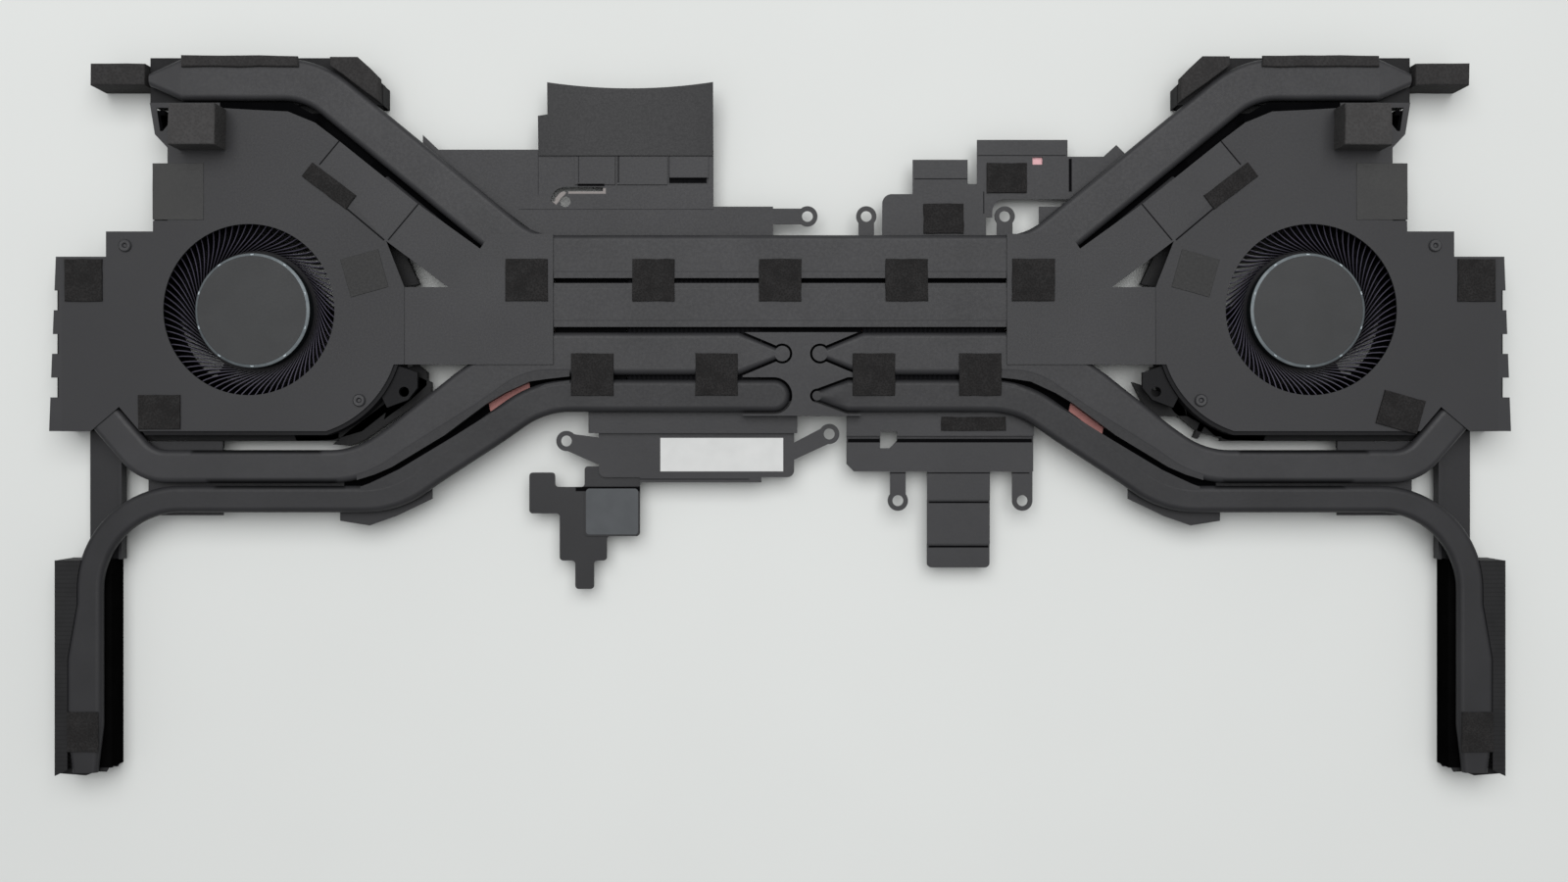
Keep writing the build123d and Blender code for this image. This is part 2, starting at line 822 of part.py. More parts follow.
blade_outline = blade_edge(blade_thickness / 2) + blade_edge(-blade_thickness / 2)[::-1]
rise_start = root_radius * cos(radians(waist_sweep))
rise_end = (root_radius + waist_rise) * cos(blade_thickness / 2 / (root_radius + waist_rise))
slope = (blade_top - root_top) / (rise_end - rise_start)
with BuildPart() as blade:
    with BuildSketch(level(blade_bottom)):
        Polygon(*blade_outline, align=None)
    extrude(amount=blade_top - blade_bottom)
    with BuildSketch(Plane.XZ.rotated((0, 0, -waist_sweep))):
        Polygon(
            (rise_start - wall, root_top - slope * wall), (rise_end + wall, blade_top + slope * wall),
            (rise_start - wall, blade_top + slope * wall), align=None)
    extrude(amount=root_radius, both=True, mode=Mode.SUBTRACT)

with BuildPart() as impeller:
    with BuildSketch(fan_plane(blade_bottom)):
        RegularPolygon(root_radius, blade_count, rotation=180 / blade_count)
        Circle(cap_radius + running_gap, mode=Mode.SUBTRACT)
    extrude(amount=root_top - blade_bottom)
    with Locations((-fan_x, fan_y)):
        with PolarLocations(0, blade_count):
            add(blade.part)
save_pair(impeller, "impeller")

# Fan screws: four small pan heads that hold the covers on their bases
with BuildPart() as fan_screws:
    with BuildSketch(fan_plane(cover_top)):
        with Locations(screw_west, screw_south):
            Circle(screw_head_radius)
    extrude(amount=screw_head_height)
    with BuildSketch(fan_plane(cover_top)):
        with Locations(screw_west, screw_south):
            Circle(screw_radius)
    extrude(amount=-screw_length)
    mirror(about=Plane.YZ)
save(fan_screws, "fan_screws")


def fin_row(middle, length, depth, along_x, bottom, top):
    """Row of thin upright fins on one bottom sheet, with a fold that closes each end."""
    count = int(length / fin_pitch)
    pitch = (length - fin_thickness) / count
    with BuildPart() as row:
        with BuildSketch(Plane((middle[0], middle[1], bottom))):
            if along_x:
                with GridLocations(pitch, 0, count + 1, 1):
                    Rectangle(fin_thickness, depth)
            else:
                with GridLocations(0, pitch, 1, count + 1):
                    Rectangle(depth, fin_thickness)
        extrude(amount=top - bottom)
        with BuildSketch(Plane((middle[0], middle[1], bottom))):
            if along_x:
                Rectangle(length, depth)
            else:
                Rectangle(depth, length)
        extrude(amount=fin_sheet)
    return row.part


# Rear fin stacks: under the ends of the rear pipe, fins side by side along X
rear_stack_length = rear_stack_west + rear_stack_east
rear_stack_x = -fan_x + (rear_stack_east - rear_stack_west) / 2
with BuildPart() as rear_fin_stack:
    add(fin_row((rear_stack_x, rear_y), rear_stack_length, rear_stack_depth, True, 0, pipe_bottom))
    with BuildSketch(Plane((rear_stack_x, rear_y, pipe_bottom - fin_sheet))):
        Rectangle(rear_stack_length, rear_stack_depth)
    extrude(amount=fin_sheet)
save_pair(rear_fin_stack, "rear_fin_stack")

# Side fin stacks: under the west edge of the cover, notched for the side pipe
side_stack_east = base_west + fit_gap
side_stack_depth = side_stack_west - side_stack_east
side_stack_length = side_north + body_south
side_stack_middle = (
    -fan_x - (side_stack_west + side_stack_east) / 2, fan_y + (side_north - body_south) / 2)
channel = wide_run + 2 * channel_gap
with BuildPart() as side_fin_stack:
    add(fin_row(side_stack_middle, side_stack_length, side_stack_depth, False, 0, pipe_top))
    with BuildSketch(level(pipe_bottom)):
        with Locations((side_pipe_x, side_turn_y)):
            Rectangle(channel, side_stack_length, align=(Align.CENTER, Align.MIN))
            Rectangle(
                side_stack_length, channel, rotation=-side_climb, align=(Align.MIN, Align.CENTER))
            Circle(channel / 2)
    extrude(amount=pipe_thickness, mode=Mode.SUBTRACT)
    with BuildSketch(Plane((*side_stack_middle, pipe_bottom - fin_sheet))):
        Rectangle(side_stack_depth, side_stack_length)
    extrude(amount=fin_sheet)
save_pair(side_fin_stack, "side_fin_stack")

# Front fin stacks: down the two arms, with a channel for the front pipe and folded tops outside it
arm_middle = (-arm_outer + arm_width / 2, arm_north - arm_length / 2)
arm_south = arm_north - arm_length
arm_east = -arm_outer + arm_width
bend_middle_y = front_run_y - arm_bend_radius
entry_west = arm_entry_x - slim_run / 2 - fit_gap
seat_west = arm_seat_x - arm_pipe / 2 - fit_gap
with BuildPart() as front_fin_stack:
    add(fin_row(arm_middle, arm_length, arm_width, False, 0, pipe_top))
    with BuildSketch(level(pipe_bottom)) as arm_channel:
        with Locations((arm_entry_x + arm_bend_radius, bend_middle_y)):
            Circle(arm_bend_radius + slim_run / 2 + fit_gap)
        Polygon(
            (entry_west, bend_middle_y), (entry_west, arm_entry[1]), (seat_west, arm_seat[1]),
            (seat_west, arm_south), (arm_east, arm_south), (arm_east, bend_middle_y), align=None)
    extrude(amount=pipe_thickness, mode=Mode.SUBTRACT)
    with BuildSketch(Plane((*arm_middle, pipe_bottom - fin_sheet))):
        Rectangle(arm_width, arm_length)
    extrude(amount=fin_sheet)
    with BuildSketch(level(pipe_top - fin_sheet)):
        with Locations(arm_middle):
            Rectangle(arm_width, arm_length)
        add(arm_channel.sketch_local, mode=Mode.SUBTRACT)
    extrude(amount=fin_sheet)
save_pair(front_fin_stack, "front_fin_stack")


def from_fan(point):
    """A point given from the left blower's axis, in the module's own frame."""
    return (point[0] - fan_x, point[1] + fan_y)


def rectangle_between(west, east, south, north):
    """Rectangle given by its four sides."""
    with Locations(((west + east) / 2, (south + north) / 2)):
        Rectangle(east - west, north - south)


# Bridge plates: flat sheet soldered over the pipes, reaching to the blower cover
bridge_north = row_1 + wide_pipe / 2 + seam
bridge_slit_y = (
    row_1 + (bridge_slit_x - rear_bend_x) * tan(radians(rear_slope))
    - pipe_pitch / 2 / cos(radians(rear_slope)))
bridge_west = body_east - fan_x + seam
with BuildPart() as bridge_plate:
    with BuildSketch(level(pipe_top)):
        Polygon(
            (-bridge_east, bridge_north), (-bridge_slope_x, bridge_north),
            (-bridge_slit_x, bridge_slit_y), from_fan(strip_east), from_fan(strip_low),
            (-bridge_crotch_x, fan_y + arm_high), (bridge_west, fan_y + arm_high),
            (bridge_west, fan_y + arm_low), (-bridge_east, fan_y + arm_low), align=None)
    extrude(amount=sheet)
save_pair(bridge_plate, "bridge_plate")

# Seal strips: sheet patches that close the cover over the ends of the middle pipe
with BuildPart() as seal_strip:
    with BuildSketch(fan_plane(pipe_top)):
        Polygon(strip_top, strip_east, strip_low, strip_west, align=None)
    extrude(amount=sheet)
save_pair(seal_strip, "seal_strip")

def pipe_room(row, far_x, shoulder_x, width, end_x, end_width):
    """Cut the room for a tube that narrows from its shoulder to its end."""
    wide_half = width / 2 + groove
    end_half = end_width / 2 + groove
    Polygon(
        (far_x, row + wide_half), (shoulder_x, row + wide_half), (end_x, row + end_half),
        (end_x, row - end_half), (shoulder_x, row - wide_half), (far_x, row - wide_half),
        align=None, mode=Mode.SUBTRACT)


# Pipe frame: middle plate under the pipes, with a raised fill round the pipe ends
frame_north = row_1 + wide_pipe / 2
frame_inner_south = row_4 - slim_pipe / 2 - frame_thickness
infill_north = row_3 + wide_pipe / 2
with BuildPart() as pipe_frame:
    with BuildSketch(level(frame_bottom)):
        Polygon(
            (-frame_half, frame_north), (frame_half, frame_north),
            (frame_half, row_4), (frame_right_east, row_4 - frame_corner_drop),
            (frame_right_east, frame_right_south), (frame_step_right, frame_right_south),
            (frame_step_right, frame_inner_south), (frame_step_left, frame_inner_south),
            (frame_step_left, frame_left_south), (-frame_left_west, frame_left_south),
            (-frame_left_west, row_4 - frame_corner_drop), (-frame_half, row_4), align=None)
        with Locations((cold_left_x, cold_left_y), (cold_right_x, cold_right_y)):
            Rectangle(cold_width + 2 * fit_gap, cold_depth + 2 * fit_gap, mode=Mode.SUBTRACT)
        with Locations((lower_right_hole_x, lower_right_hole_y)):
            Rectangle(lower_right_hole, lower_right_hole, mode=Mode.SUBTRACT)
    extrude(amount=frame_thickness)
    with BuildSketch(level(pipe_bottom)):
        rectangle_between(-infill_west, infill_east, frame_inner_south, infill_north)
        for tip_x, out in ((left_tip_x, 1), (right_tip_x, -1)):
            pipe_room(
                row_3, tip_x - out * (infill_west + infill_east), tip_x - out * tip_length, wide_pipe,
                tip_x - out * crimp_length, crimp_width)
            with Locations((tip_x - out * bulb_width / 2, row_3)):
                Circle(bulb_width / 2 + groove, mode=Mode.SUBTRACT)
        pipe_room(row_4, left_round_x - infill_east, left_round_x, slim_pipe, left_round_x, slim_pipe)
        with Locations((left_round_x, row_4)):
            Circle(slim_pipe / 2 + groove, mode=Mode.SUBTRACT)
        pipe_room(
            row_4, right_point_x + infill_east, right_tip_x + point_length, slim_pipe,
            right_point_x, point_width)
        with Locations((right_point_x, row_4)):
            Circle(point_width / 2 + groove, mode=Mode.SUBTRACT)
    extrude(amount=pipe_thickness - infill_drop)
save(pipe_frame, "pipe_frame")


def cold_plate(middle):
    """Copper block in the frame's window, with a raised foot for the chip below."""
    with BuildPart() as plate:
        with BuildSketch(Plane((*middle, cold_bottom))):
            RectangleRounded(cold_width, cold_depth, wall)
        extrude(amount=pipe_bottom - cold_bottom)
        with BuildSketch(Plane((*middle, cold_bottom))):
            Rectangle(die_width, die_depth)
        extrude(amount=-die_rise)
    return plate


# Cold plates: copper under the pipes, one for each chip
save(cold_plate((cold_left_x, cold_left_y)), "left_cold_plate")
save(cold_plate((cold_right_x, cold_right_y)), "right_cold_plate")


def round_corner(outline, corner, radius):
    """Round the one corner of a flat outline that lies at a given place."""
    fillet(outline.vertices().sort_by_distance((*corner, 0))[0], radius)


def lug_rings(*lugs):
    with Locations(*lugs):
        Circle(plate_lug_radius)


def lug_holes(*lugs):
    with Locations(*lugs):
        Circle(plate_lug_hole, mode=Mode.SUBTRACT)


# Upper left plate: thin aluminium over the voltage regulators, with two lugs
plate_south = frame_north - plate_overlap
patch_north = flap_south - fit_gap
with BuildPart() as upper_left_plate:
    with BuildSketch(level(plate_bottom)):
        Polygon(
            upper_left_tail, (upper_left_notch_x, upper_plate_north),
            (upper_left_east, upper_plate_north), (upper_left_east, upper_left_step),
            (upper_left_end, upper_left_step), (upper_left_end, plate_south),
            (-frame_half, plate_south), (upper_left_tail[0], upper_plate_north), align=None)
        rectangle_between(
            upper_left_end, upper_left_far_lug[0],
            upper_left_far_lug[1] - lug_stem / 2, upper_left_far_lug[1] + lug_stem / 2)
        lug_rings(upper_left_far_lug)
        lug_holes(upper_left_lug, upper_left_far_lug)
        with BuildLine():
            inner_arc = CenterArc(upper_left_lug, plate_lug_radius, 90, 90)
            outer_arc = CenterArc(upper_left_lug, plate_lug_radius + crescent_width, 90, 90)
            Line(inner_arc @ 1, outer_arc @ 1)
            Polyline(
                inner_arc @ 0, inner_arc @ 0 + Vector(crescent_length, 0),
                outer_arc @ 0 + Vector(crescent_length, 0), outer_arc @ 0)
        make_face(mode=Mode.SUBTRACT)
    extrude(amount=plate_thickness)
    with BuildSketch(level(frame_bottom)):
        rectangle_between(patch_1_west, patch_2_west - patch_gap, patch_south, patch_north)
        rectangle_between(patch_2_west, patch_3_west - patch_gap, patch_south, patch_north)
        rectangle_between(patch_3_west, patch_3_east, patch_south + recess_height, patch_north)
    extrude(amount=patch_rise)
    with BuildSketch(level(frame_bottom)):
        rectangle_between(patch_3_west, patch_3_east, patch_south, patch_south + recess_height)
    extrude(amount=-plate_thickness / 2, mode=Mode.SUBTRACT)
save(upper_left_plate, "upper_left_plate")

# Insulating flap: thin film that curls up at both sides, stuck to the upper left plate
flap_middle = (flap_west + upper_left_east) / 2
flap_low = frame_bottom + flap_thickness
with BuildPart() as insulating_flap:
    with BuildSketch(Plane.XZ.offset(-flap_south)):
        with BuildLine():
            lower = ThreePointArc(
                (flap_west, frame_bottom + flap_rise), (flap_middle, frame_bottom),
                (upper_left_east, frame_bottom + flap_rise))
            upper = ThreePointArc(
                (flap_west, flap_low + flap_rise), (flap_middle, flap_low),
                (upper_left_east, flap_low + flap_rise))
            Line(lower @ 0, upper @ 0)
            Line(lower @ 1, upper @ 1)
        make_face()
    extrude(amount=flap_south - flap_north)
    with BuildSketch(level(frame_bottom)):
        rectangle_between(flap_west, flap_west + flap_step, flap_step_y, flap_north)
        with BuildLine():
            far_edge = Line((flap_west, flap_north), (upper_left_east, flap_north))
            ThreePointArc(far_edge @ 0, (flap_middle, flap_north - flap_dip), far_edge @ 1)
        make_face()
    extrude(amount=2 * flap_rise, mode=Mode.SUBTRACT)
save(insulating_flap, "insulating_flap")

# Upper right plate: thin aluminium with a tower, a block with a window and two lugs on stems
with BuildPart() as upper_right_plate:
    with BuildSketch(level(plate_bottom)) as upper_right_outline:
        Polygon(
            (upper_right_west, plate_south), (upper_right_west, upper_right_shelf),
            (tower_west, upper_right_shelf), (tower_west, tower_north),
            (tower_east, tower_north), (tower_east, tower_gap), (block_west, tower_gap),
            (block_west, block_north), (block_east, block_north), (block_east, tail_north),
            (tail_east, tail_north), tail_tip, (tail_tip[0] + plate_overlap, tail_north),
            (block_east + plate_overlap, block_south), (cut_west, block_south),
            (cut_west, cut_step), (cut_inner, cut_step), (cut_inner, plate_south), align=None)
        round_corner(upper_right_outline, (upper_right_west, upper_right_shelf), shelf_radius)
        round_corner(upper_right_outline, (cut_west, block_south), cut_radius)
        rectangle_between(upper_right_lug[0], shelf_east, plate_south, frame_north)
        rectangle_between(shelf_west, shelf_east, plate_south, shelf_north)
        for stem in (upper_right_lug, upper_right_far_lug):
            rectangle_between(stem[0] - lug_stem / 2, stem[0] + lug_stem / 2, plate_south, stem[1])
        lug_rings(upper_right_lug, upper_right_far_lug)
        lug_holes(upper_right_lug, upper_right_far_lug)
        with Locations(window_middle):
            Rectangle(window_width, window_height, mode=Mode.SUBTRACT)
    extrude(amount=plate_thickness)
save(upper_right_plate, "upper_right_plate")

# Lower left bracket: flat plate below the frame, with two slanted arms and a front lip
with BuildPart() as lower_left_bracket:
    with BuildSketch(level(plate_bottom)) as lower_left_outline:
        rectangle_between(
            lower_left_west, lower_left_east, lower_left_south, frame_left_south + plate_overlap)
        round_corner(lower_left_outline, (lower_left_west, lower_left_south), bracket_corner)
        round_corner(lower_left_outline, (lower_left_east, lower_left_south), bracket_corner)
        rectangle_between(lip_west, lip_east, lower_left_south - lip_depth, lower_left_south)
        Polygon(
            (lower_left_lug[0], lower_left_lug[1] + lug_stem / 2), (lower_left_west, left_arm_north),
            (lower_left_west, left_arm_south),
            (lower_left_lug[0] - lug_stem / 4, lower_left_lug[1] - lug_stem / 2), align=None)
        Polygon(
            (lower_left_far_lug[0] - lug_stem / 4, lower_left_far_lug[1] + lug_stem / 2),
            (lower_left_far_lug[0] + lug_stem / 4, lower_left_far_lug[1] - lug_stem / 2),
            (lower_left_east, far_arm_south), (lower_left_east, far_arm_north), align=None)
        lug_rings(lower_left_lug, lower_left_far_lug)
        lug_holes(lower_left_lug, lower_left_far_lug)
    extrude(amount=plate_thickness)
save(lower_left_bracket, "lower_left_bracket")

# White label: blank sticker on the lower left bracket
white_label_north = frame_left_south - white_label_drop
with BuildPart() as white_label:
    with BuildSketch(level(frame_bottom)):
        rectangle_between(
            white_label_east - white_label_width, white_label_east,
            white_label_north - white_label_height, white_label_north)
    extrude(amount=label_thickness)
save(white_label, "white_label")

# Step bracket: folded sheet under the lower left bracket, with an ear, a column and a foot
label_middle = ((step_west + step_east) / 2, (step_south + step_fold) / 2)
with BuildPart() as step_bracket:
    with BuildSketch(level(plate_bottom - plate_thickness)) as step_outline:
        rectangle_between(step_west, step_east, step_south, step_north)
        rectangle_between(column_west, column_east, column_south, step_fold)
        rectangle_between(ear_west, ear_east, ear_south, ear_north)
        rectangle_between(ear_east, column_west, ear_south, step_fold)
        rectangle_between(foot_west, foot_east, foot_south, column_south)
        fillet(step_outline.vertices(), step_corner)
    extrude(amount=plate_thickness)
    with BuildSketch(level(plate_bottom)):
        with Locations(label_middle):
            RectangleRounded(step_east - step_west, step_fold - step_south, step_corner)
    extrude(amount=fold_drop)
save(step_bracket, "step_bracket")

# Grey label: blank sticker on the raised part of the step bracket
with BuildPart() as grey_label:
    with BuildSketch(level(plate_bottom + fold_drop)):
        with Locations(label_middle):
            RectangleRounded(
                step_east - step_west - 2 * label_margin, step_fold - step_south - 2 * label_margin,
                step_corner)
    extrude(amount=label_thickness)
save(grey_label, "grey_label")

# Lower right bracket: flat plate with a stepped tab, a window and two stems with lugs
with BuildPart() as lower_right_bracket:
    with BuildSketch(level(plate_bottom)):
        Polygon(
            (lower_right_west, frame_right_south + plate_overlap),
            (frame_right_east, frame_right_south + plate_overlap),
            (frame_right_east, lower_right_south),
            (lower_right_west + plate_chamfer, lower_right_south),
            (lower_right_west, lower_right_south + plate_chamfer), align=None)
        rectangle_between(
            lower_right_lug[0] - lug_stem / 2, lower_right_lug[0] + lug_stem / 2,
            lower_right_lug[1], lower_right_south)
        rectangle_between(
            lower_right_far_lug[0] - plate_lug_radius, lower_right_far_lug[0] + plate_lug_radius,
            lower_right_far_lug[1], lower_right_south)
        rectangle_between(tab_west, tab_east, tab_fold_1, lower_right_south)
        lug_rings(lower_right_lug, lower_right_far_lug)
        lug_holes(lower_right_lug, lower_right_far_lug)
        with Locations((lower_right_hole_x, lower_right_hole_y)):
            Rectangle(lower_right_hole, lower_right_hole, mode=Mode.SUBTRACT)
        hole_corner_x = lower_right_hole_x + lower_right_hole / 2
        hole_corner_y = lower_right_hole_y - lower_right_hole / 2
        Polygon(
            (hole_corner_x, hole_corner_y), (hole_corner_x, hole_corner_y + plate_chamfer),
            (hole_corner_x - plate_chamfer, hole_corner_y), align=None)
    extrude(amount=plate_thickness)
    with BuildSketch(level(plate_bottom - fold_drop)):
        rectangle_between(tab_west, tab_east, tab_fold_2, tab_fold_1)
    extrude(amount=plate_thickness)
    with BuildSketch(level(plate_bottom - 2 * fold_drop)):
        rectangle_between(tab_west, tab_east, tab_south, tab_fold_2)
    extrude(amount=plate_thickness)
    fillet(lower_right_bracket.edges().filter_by(Axis.Z).group_by(Axis.Y)[0], tab_corner)
save(lower_right_bracket, "lower_right_bracket")

# Side rails: narrow notched sheet along the outer edge of the side fins
with BuildPart() as side_rail:
    with BuildSketch(fan_plane(pipe_top)):
        Polygon(
            (-side_reach, side_north), (-side_reach - rail_top_width, side_north),
            (-side_reach - rail_bottom_width, -body_south), (-side_reach, -body_south), align=None)
        rail_pitch = side_stack_length / (rail_notches + 1)
        for notch in range(1, rail_notches + 1):
            with Locations((-side_reach - rail_top_width / 2, side_north - notch * rail_pitch)):
                Rectangle(
                    rail_bottom_width, rail_notch, align=(Align.MAX, Align.CENTER),
                    mode=Mode.SUBTRACT)
    extrude(amount=sheet)
save_pair(side_rail, "side_rail")

# Link plates: angle strips that join the side fins to the front fins below the pipes
link_north = fan_y - body_south
link_arm_east = link_inner - arm_outer
link_fan_east = -fan_x - link_seat_east
with BuildPart() as link_plate:
    with BuildSketch(level(link_bottom)):
        Polygon(
            (link_arm_east - link_width, arm_north), (link_arm_east, arm_north),
            (link_fan_east, link_north), (-fan_x - link_seat_west, link_north), align=None)
    extrude(amount=bracket_thickness)
    with BuildSketch(level(link_bottom)):
        Polygon(
            (link_arm_east - bracket_thickness, arm_north), (link_arm_east, arm_north),
            (link_fan_east, link_north), (link_fan_east - bracket_thickness, link_north), align=None)
    extrude(amount=link_lip)
save_pair(link_plate, "link_plate")

# Pipe brackets: strips soldered under the two pipes beside the blower
with BuildPart() as pipe_bracket:
    with BuildSketch(level(pipe_bottom - bracket_thickness)):
        bracket_north = side_run_y + wide_run / 2 + bracket_head
        bracket_south = front_run_y - slim_run / 2 - bracket_thickness
        tail_south = front_run_y - tail_drop
        Polygon(
            (-bracket_west, bracket_north), (-bracket_shoulder, bracket_north),
            (-bracket_shoulder, side_run_y), (-bracket_tail_x, side_run_y),
            (-bracket_end_x, front_run_y + bracket_margin), (-bracket_end_x, front_run_y),
            (-front_drop_x, tail_south + 2 * tail_rise),
            (-front_drop_x - 2 * bracket_margin, tail_south), (-bracket_tail_x, tail_south + tail_rise),
            (-bracket_tail_x, front_run_y), (-bracket_shoulder, front_run_y),
            (-bracket_shoulder, bracket_south), (-bracket_west, bracket_south), align=None)
    extrude(amount=bracket_thickness)
save_pair(pipe_bracket, "pipe_bracket")

# Rear gaskets: foam along the back of the rear fins, in three pieces
rear_stack_north = rear_y + rear_stack_depth / 2
with BuildPart() as rear_gasket:
    with BuildSketch(level(fit_gap)):
        rectangle_between(
            -fan_x - gasket_end_west, -fan_x - rear_stack_west,
            rear_y - gasket_end_south, rear_y - gasket_end_south + gasket_end_depth)
    extrude(amount=gasket_top - fit_gap)
    with BuildSketch(level(pipe_top)):
        rectangle_between(
            -fan_x - gasket_strip_west, -fan_x + gasket_strip_east,
            rear_stack_north - gasket_strip_width, rear_stack_north)
    extrude(amount=gasket_strip_height)
    with BuildSketch(level(pipe_bottom)):
        Polygon(
            (-fan_x + gasket_corner_west, rear_stack_north),
            (-fan_x + gasket_corner_east, rear_stack_north),
            (-fan_x + rear_stack_east, rear_y + fit_gap),
            (-fan_x + rear_stack_east, rear_y - rear_stack_depth / 2),
            (-fan_x + gasket_corner_west, rear_stack_north - gasket_corner_drop), align=None)
    extrude(amount=gasket_top - pipe_bottom)
save_pair(rear_gasket, "rear_gasket")

# Foam blocks: tall soft blocks glued on the covers
with BuildPart() as foam_block:
    with BuildSketch(fan_plane(cover_top)):
        rectangle_between(-foam_west, foam_width - foam_west, foam_south, foam_south + foam_depth)
    extrude(amount=foam_height)
save_pair(foam_block, "foam_block")

# Pipe pads: square pads across the gaps between the pipes
with BuildPart() as pipe_pads:
    with BuildSketch(level(pipe_top)):
        with Locations((0, (row_1 + row_2) / 2)):
            with GridLocations(pad_pitch, 0, 3, 1):
                Rectangle(pad_size, pad_size)
        with Locations((0, (row_3 + row_4) / 2)):
            with Locations(
                    (pad_left_outer, 0), (pad_left_inner, 0),
                    (pad_right_inner, 0), (pad_right_outer, 0)):
                Rectangle(pad_size, pad_size)
    extrude(amount=pad_thickness)
    with BuildSketch(level(cover_top)):
        with Locations((0, (row_1 + row_2) / 2)):
            with GridLocations(4 * pad_pitch, 0, 2, 1):
                Rectangle(pad_size, pad_size)
    extrude(amount=pad_thickness)
save(pipe_pads, "pipe_pads")

# Plate pads: pads on the upper right plate and on the frame's lower edge
with BuildPart() as plate_pads:
    with BuildSketch(level(frame_bottom)):
        with Locations(plate_pad_1, plate_pad_2):
            Rectangle(plate_pad_width, plate_pad_height)
    extrude(amount=pad_thickness)
    with BuildSketch(level(pipe_bottom)):
        with Locations(plate_pad_3):
            Rectangle(plate_pad_3_width, plate_pad_3_height)
    extrude(amount=pad_thickness)
save(plate_pads, "plate_pads")


def blower_pads(cover_pad_turn):
    """Thin dark pads on one cover and at the end of its front pipe."""
    with BuildPart() as pads:
        with BuildSketch(fan_plane(cover_top)):
            with Locations(side_pad_middle):
                Rectangle(pad_size - wall, pad_size)
            with Locations(cover_pad_middle):
                Rectangle(pad_size, cover_pad_height, rotation=cover_pad_turn)
            with Locations(slant_pad_middle):
                Rectangle(slant_pad_length, slant_pad_width, rotation=slant_pad_turn)
        extrude(amount=pad_thickness)
        with BuildSketch(level(pipe_top)):
            with Locations((arm_seat_x, arm_end[1] - arm_pad_drop + arm_pad_length / 2)):
                Rectangle(arm_pad_width, arm_pad_length)
        extrude(amount=pad_thickness)
    return pads


# Fan pads: thin pads on the covers and arms, one of them set askew on the right cover
with BuildPart() as fan_pads:
    add(blower_pads(0).part)
    mirror(blower_pads(right_pad_turn).part, about=Plane.YZ)
save(fan_pads, "fan_pads")

# Fan tapes: thin adhesive squares on the covers
with BuildPart() as fan_tapes:
    with BuildSketch(fan_plane(cover_top)):
        with Locations(tape_middle):
            Rectangle(tape_width, tape_height)
        with Locations(grey_tape_middle):
            Rectangle(grey_tape_size, grey_tape_size, rotation=grey_tape_turn)
    extrude(amount=tape_thickness)
    mirror(about=Plane.YZ)
save(fan_tapes, "fan_tapes")

def beside_front_pipe(distance, rise):
    """Height y of a place beside the sloping front pipe, at a distance from the middle."""
    return row_4 - (distance - front_bend_x) * tan(radians(front_slope)) + rise


# Thermal pads: soft pads with a pink film, under the pipes and under the upper right plate
left_pad_x = frame_half + thermal_pad_left_gap
right_pad_x = frame_right_east + thermal_pad_right_gap
with BuildPart() as thermal_pads:
    with BuildSketch(level(pipe_bottom - bracket_thickness)):
        with Locations((-left_pad_x, beside_front_pipe(left_pad_x, thermal_pad_left_rise))):
            Rectangle(thermal_pad_length, thermal_pad_width, rotation=front_slope)
        with Locations((right_pad_x, beside_front_pipe(right_pad_x, thermal_pad_right_rise))):
            Rectangle(thermal_pad_long, thermal_pad_width, rotation=-front_slope)
    extrude(amount=bracket_thickness)
    with BuildSketch(level(plate_bottom - bracket_thickness)):
        with Locations(window_middle):
            Rectangle(thermal_pad_small, thermal_pad_small)
    extrude(amount=bracket_thickness)
save(thermal_pads, "thermal_pads")
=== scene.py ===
import bmesh
import bpy
from math import atan2, copysign, cos, exp, hypot, pi, radians, sin, sqrt, tan, tau
from mathutils import Matrix, Vector, noise


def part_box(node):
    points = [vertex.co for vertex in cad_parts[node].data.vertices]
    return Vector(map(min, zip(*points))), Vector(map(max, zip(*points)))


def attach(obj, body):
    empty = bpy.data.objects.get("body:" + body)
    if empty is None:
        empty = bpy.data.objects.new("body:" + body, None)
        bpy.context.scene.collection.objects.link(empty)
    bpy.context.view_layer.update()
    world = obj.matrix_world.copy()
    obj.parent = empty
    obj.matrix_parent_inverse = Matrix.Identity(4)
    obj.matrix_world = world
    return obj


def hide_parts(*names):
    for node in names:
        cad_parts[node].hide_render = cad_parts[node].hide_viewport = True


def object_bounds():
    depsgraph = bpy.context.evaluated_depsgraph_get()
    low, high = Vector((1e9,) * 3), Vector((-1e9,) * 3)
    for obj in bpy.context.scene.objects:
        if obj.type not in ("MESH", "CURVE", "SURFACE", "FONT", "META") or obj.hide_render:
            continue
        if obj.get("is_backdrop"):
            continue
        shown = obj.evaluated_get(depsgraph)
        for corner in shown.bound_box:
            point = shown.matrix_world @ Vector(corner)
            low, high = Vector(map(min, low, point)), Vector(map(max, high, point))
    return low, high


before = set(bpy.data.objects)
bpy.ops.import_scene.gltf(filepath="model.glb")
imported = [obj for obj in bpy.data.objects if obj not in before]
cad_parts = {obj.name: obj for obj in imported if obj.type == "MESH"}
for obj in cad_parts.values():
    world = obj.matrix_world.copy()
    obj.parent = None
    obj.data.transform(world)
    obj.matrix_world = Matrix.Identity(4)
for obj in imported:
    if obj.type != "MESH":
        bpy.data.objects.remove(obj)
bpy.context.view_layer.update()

# Heat pipes: six copper tubes, pressed flat, bent cold and crimped shut at their ends. They are
# soldered to the frame and the fins, and sprayed with satin black enamel together with them.
mm = 0.001
pipe_cloud = 16 * mm
pipe_peel = 0.7 * mm


